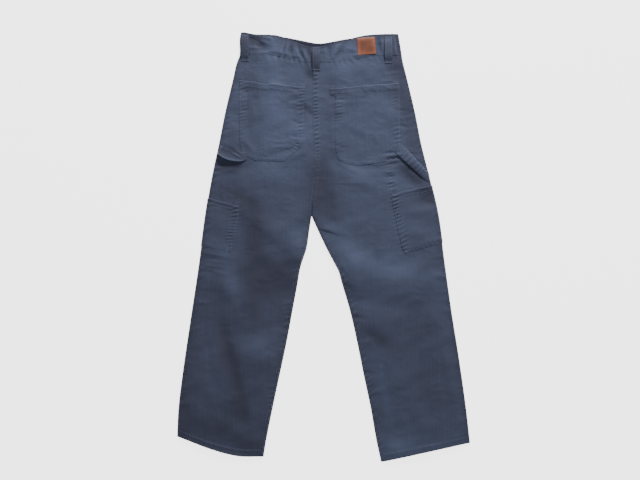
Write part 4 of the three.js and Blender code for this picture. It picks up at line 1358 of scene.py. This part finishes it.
def sewWaistband():
    groups = []
    for part in (0.075, 0.93):
        line = bandLine(part)
        onLeft = line[:, 0] < garment["middle"]
        groups += [stitchRow(half, bandSurface) for half in (line[onLeft], line[~onLeft])]
    # the band's two halves are joined in a strip at the right of the middle loop
    groups += [stitchRow([(x, 40), (x, 74)], bandSurface) for x in (-8, 9)]
    for spot in backLoops.values():
        top = raised(functools.partial(loopHeight, spot), loops["wall"])
        groups += loopSides(spot, top)
        for down in (spot["start"] + 3.5, spot["end"] - 2.5):
            groups.append(barTack((spot["x"] - 7.5, down), (spot["x"] + 7.5, down), top))
    return sewnPiece("stitches_waistband", groups)


# A back pocket's own height along one line of its hem, between the hem's two corners.
def hemSurface(top, mouth, first, last, x, down):
    return top(x, down) + mouthSag(mouth, (x - first[0]) / (last[0] - first[0]))


def pocketLines(side):
    hemRaise = pocket["gap"] + pocket["wall"] - 0.15
    surface, top = raised(backHeight, hemRaise), raised(backHeight, hemRaise + pocket["hemExtra"])
    rows = finerRows(backPockets[side], 40)
    first = (rows["startX"][0], rows["startDown"][0])
    last = (rows["endX"][0], rows["endDown"][0])
    groups = [stitchRow(besidePath(pocketEdge(side), inset)[5:-5], surface) for inset in (3, 9)]
    across = np.linspace(0.013, 0.987, 80)
    for mouth in (13, 3):
        wave = mouthWave(side, across) * math.exp(-mouth / pocket["waveReach"])
        line = np.stack([mix(first[0], last[0], across), mix(first[1], last[1], across) + mouth + wave], 1)
        groups.append(stitchRow(line, functools.partial(hemSurface, top, mouth, first, last)))
    for spot, turn in ((first, 1), (last, -1)):
        for lower in (2.5, 11.5):
            start, end = ((spot[0] + reach * turn, spot[1] + lower) for reach in (2, 12))
            groups.append(barTack(start, end, top))
    return groups


def toolLines(side):
    surface = raised(functools.partial(backSurface, side), pocket["gap"] + pocket["wall"] - 0.15)
    top = raised(surface, pocket["hemExtra"])
    sign = -1 if side == "left" else 1
    groups = [stitchRow(besidePath(toolPocketEdge(side), sign * inset)[4:-2], surface) for inset in (3, 9)]
    rows = finerRows(toolPockets[side], 24)
    outer = along(outseams, side, "down", rows["edgeDown"][0]) - sign * 3
    cornerX, cornerDown = rows["innerX"][0], rows["innerDown"][0]
    mouth = np.array([(outer, rows["edgeDown"][0]), (cornerX + 1.8 * sign, cornerDown)])
    groups += [stitchRow(mouth + (0, lower), top) for lower in (3.2, 12.6)]
    for lower in (3, 12):
        start, end = (cornerX + 1.5 * sign, cornerDown + lower), (cornerX + 11 * sign, cornerDown + lower - 1)
        groups.append(barTack(start, end, top))
    return groups


def sewPockets():
    groups = []
    for side in sides:
        groups += pocketLines(side) + toolLines(side)
    return sewnPiece("stitches_pockets", groups)


# A sewn line on a strap between two shares of its length and width, with the strap's own height under it.
def strapLine(side, start, end):
    shares = mix(np.array(start), np.array(end), np.linspace(0, 1, 60)[:, None])
    x, down, top, _, _ = strapShape(side, shares[:, 0], shares[:, 1])
    wayX, wayDown = x[-1] - x[0], down[-1] - down[0]
    reach = (x - x[0]) * wayX + (down - down[0]) * wayDown

    def height(px, pd):
        return np.interp((px - x[0]) * wayX + (pd - down[0]) * wayDown, reach, top) + 0.05

    return stitchRow(np.stack([x, down], 1), height)


# Both edges of each strap are sewn, its end on the pocket too, and the right one's end has a crossed box.
def sewStraps():
    groups = []
    for side in sides:
        for part in (0.14, 0.86):
            groups.append(strapLine(side, (0.03, part), (0.92, part)))
        groups.append(strapLine(side, (0.03, 0.14), (0.03, 0.86)))
    groups.append(strapLine("left", (0.1, 0.14), (0.1, 0.86)))
    box = [(0.03, 0.14), (0.2, 0.14), (0.2, 0.86), (0.03, 0.86)]
    for start, end in ((1, 2), (0, 2), (1, 3)):
        groups.append(strapLine("right", box[start], box[end]))
    return sewnPiece("stitches_straps", groups)


# On the back's legs: the hems, two lines beside each inner seam, the seat's seam and the right thigh's seam.
def sewLegs():
    groups = []
    for side, sign, seatInset in (("left", 1, -5.5), ("right", -1, 4.2)):
        surface = functools.partial(backSurface, side)
        groups.append(stitchRow(hemPath(side, garment["hemDepth"])[1:-1], surface))
        for inset in (4, 10):
            groups.append(stitchRow(legPath(inseams, side, 472, 1052, -sign * inset), surface))
        groups.append(stitchRow(paths["seatSeam"][1:-1] + (seatInset, 0), surface))
    groups += [stitchRow(besidePath(paths["rightSeam"], inset), surface) for inset in (-3, 3)]
    return sewnPiece("stitches_legs", groups)


def sewPatch():
    height = garment["bandFace"] + patch["gap"] + patch["wall"] - 0.25
    surface = raised(functools.partial(backHeight, fine=False), height)
    a, b = patch["width"] / 2 - 2.6, patch["height"] / 2 - 2.6
    corners = [onPatch(u * a, v * b) for u, v in ((-1, -1), (1, -1), (1, 1), (-1, 1))]
    groups = [stitchRow([start, end], surface) for start, end in zip(corners, corners[1:] + corners[:1])]
    return sewnPiece("stitches_patch", groups)


# The undersides of the front band, at a share of its height, and of the front belt loops.
def bandUnder(part, x, down):
    return frontHeight(down) - 0.45 + frontLift(x, part)


def loopUnder(x, down):
    return 0 * x + frontLoops["low"]


# On the front: the hems, the fly's curved lines, the seat's middle seam and the waistband's two lines.
def sewFront():
    under = -sewing["underRise"]
    groups = [stitchRow(hemPath(side, garment["hemDepth"])[1:-1], frontLow, under) for side in sides]
    bend = np.linspace(0, np.pi / 2, 16)
    straight = np.linspace(fly["top"], fly["bend"], 60)
    flyDown = np.concatenate([straight, fly["bend"] + fly["depth"] * np.sin(bend)])
    flyReach = np.concatenate([np.full(60, float(fly["reach"])), fly["reach"] * np.cos(bend)])
    for inset in fly["lines"]:
        x = along(seatSeam, "x", "down", flyDown) + np.maximum(flyReach - inset, 2)
        groups.append(stitchRow(np.stack([x, flyDown - inset / 2], 1), frontLow, under))
    groups += [stitchRow(paths["seatSeam"][1:-1] + (offset, 0), frontLow, under) for offset in (-4, 3)]
    across = np.linspace(0.02, 0.98, 60)
    for side in sides:
        for part in (0.08, 0.92):
            level = bandDown(side, across, part, "front")
            line = np.stack([mix(*legEdges(side, level), across), level], 1)
            groups.append(stitchRow(line, functools.partial(bandUnder, part), under))
        groups += loopSides(frontLoops[side], loopUnder, under)
    return sewnPiece("stitches_front", groups)


stitchCount = sewWaistband() + sewPockets() + sewStraps() + sewLegs() + sewPatch() + sewFront()
print("stitches sewn:", stitchCount)


# Floor, light and camera
def floorPlane():
    half = 2.6
    corners = np.array([(-half, -half, 0), (half, -half, 0), (half, half, 0), (-half, half, 0)])
    mesh = bpy.data.meshes.new("floor")
    mesh.from_pydata(corners.tolist(), [], [(0, 1, 2, 3)])
    piece = bpy.data.objects.new("floor", mesh)
    bpy.context.scene.collection.objects.link(piece)
    material, tree, shader = nodeMaterial("pale_floor")
    connect(tree, shader, {
        "Base Color": (0.92, 0.92, 0.92, 1), "Roughness": 0.9, "Emission Color": (1, 1, 1, 1),
        "Emission Strength": 3,
    })
    piece.data.materials.append(material)


def softLight(name, place, target, size, power):
    light = bpy.data.lights.new(name, "AREA")
    light.shape = "DISK"
    light.size = size
    light.energy = power
    piece = bpy.data.objects.new(name, light)
    piece.location = place
    aim = np.array(target) - np.array(place)
    flat = math.hypot(aim[0], aim[1])
    piece.rotation_euler = (math.atan2(flat, -aim[2]), 0, math.atan2(-aim[0], aim[1]))
    bpy.context.scene.collection.objects.link(piece)


def photoCamera():
    pixelSize = 2.5
    imageWidth, centreX, centreDown = 640, (320 - 323.5) * pixelSize, (240 - 32) * pixelSize
    lens, sensor = 70, 36
    height = imageWidth * pixelSize * lens / sensor
    camera = bpy.data.cameras.new("camera")
    camera.lens = lens
    camera.sensor_width = sensor
    camera.clip_end = 20
    piece = bpy.data.objects.new("camera", camera)
    piece.location = (centreX * mm, (garment["length"] / 2 - centreDown) * mm, (height + 6) * mm)
    bpy.context.scene.collection.objects.link(piece)
    bpy.context.scene.camera = piece


floorPlane()
softLight("key", (0.6, 2.7, 1.4), (0, 0, 0), 1.0, 98)
softLight("fill", (-1.0, -0.9, 2.2), (0, 0, 0), 1.6, 4)
world = bpy.data.worlds.new("room")
world.use_nodes = True
world.node_tree.nodes["Background"].inputs["Color"].default_value = (0.9, 0.93, 1, 1)
world.node_tree.nodes["Background"].inputs["Strength"].default_value = 0.3
bpy.context.scene.world = world
photoCamera()
print("floor, lights and camera made")
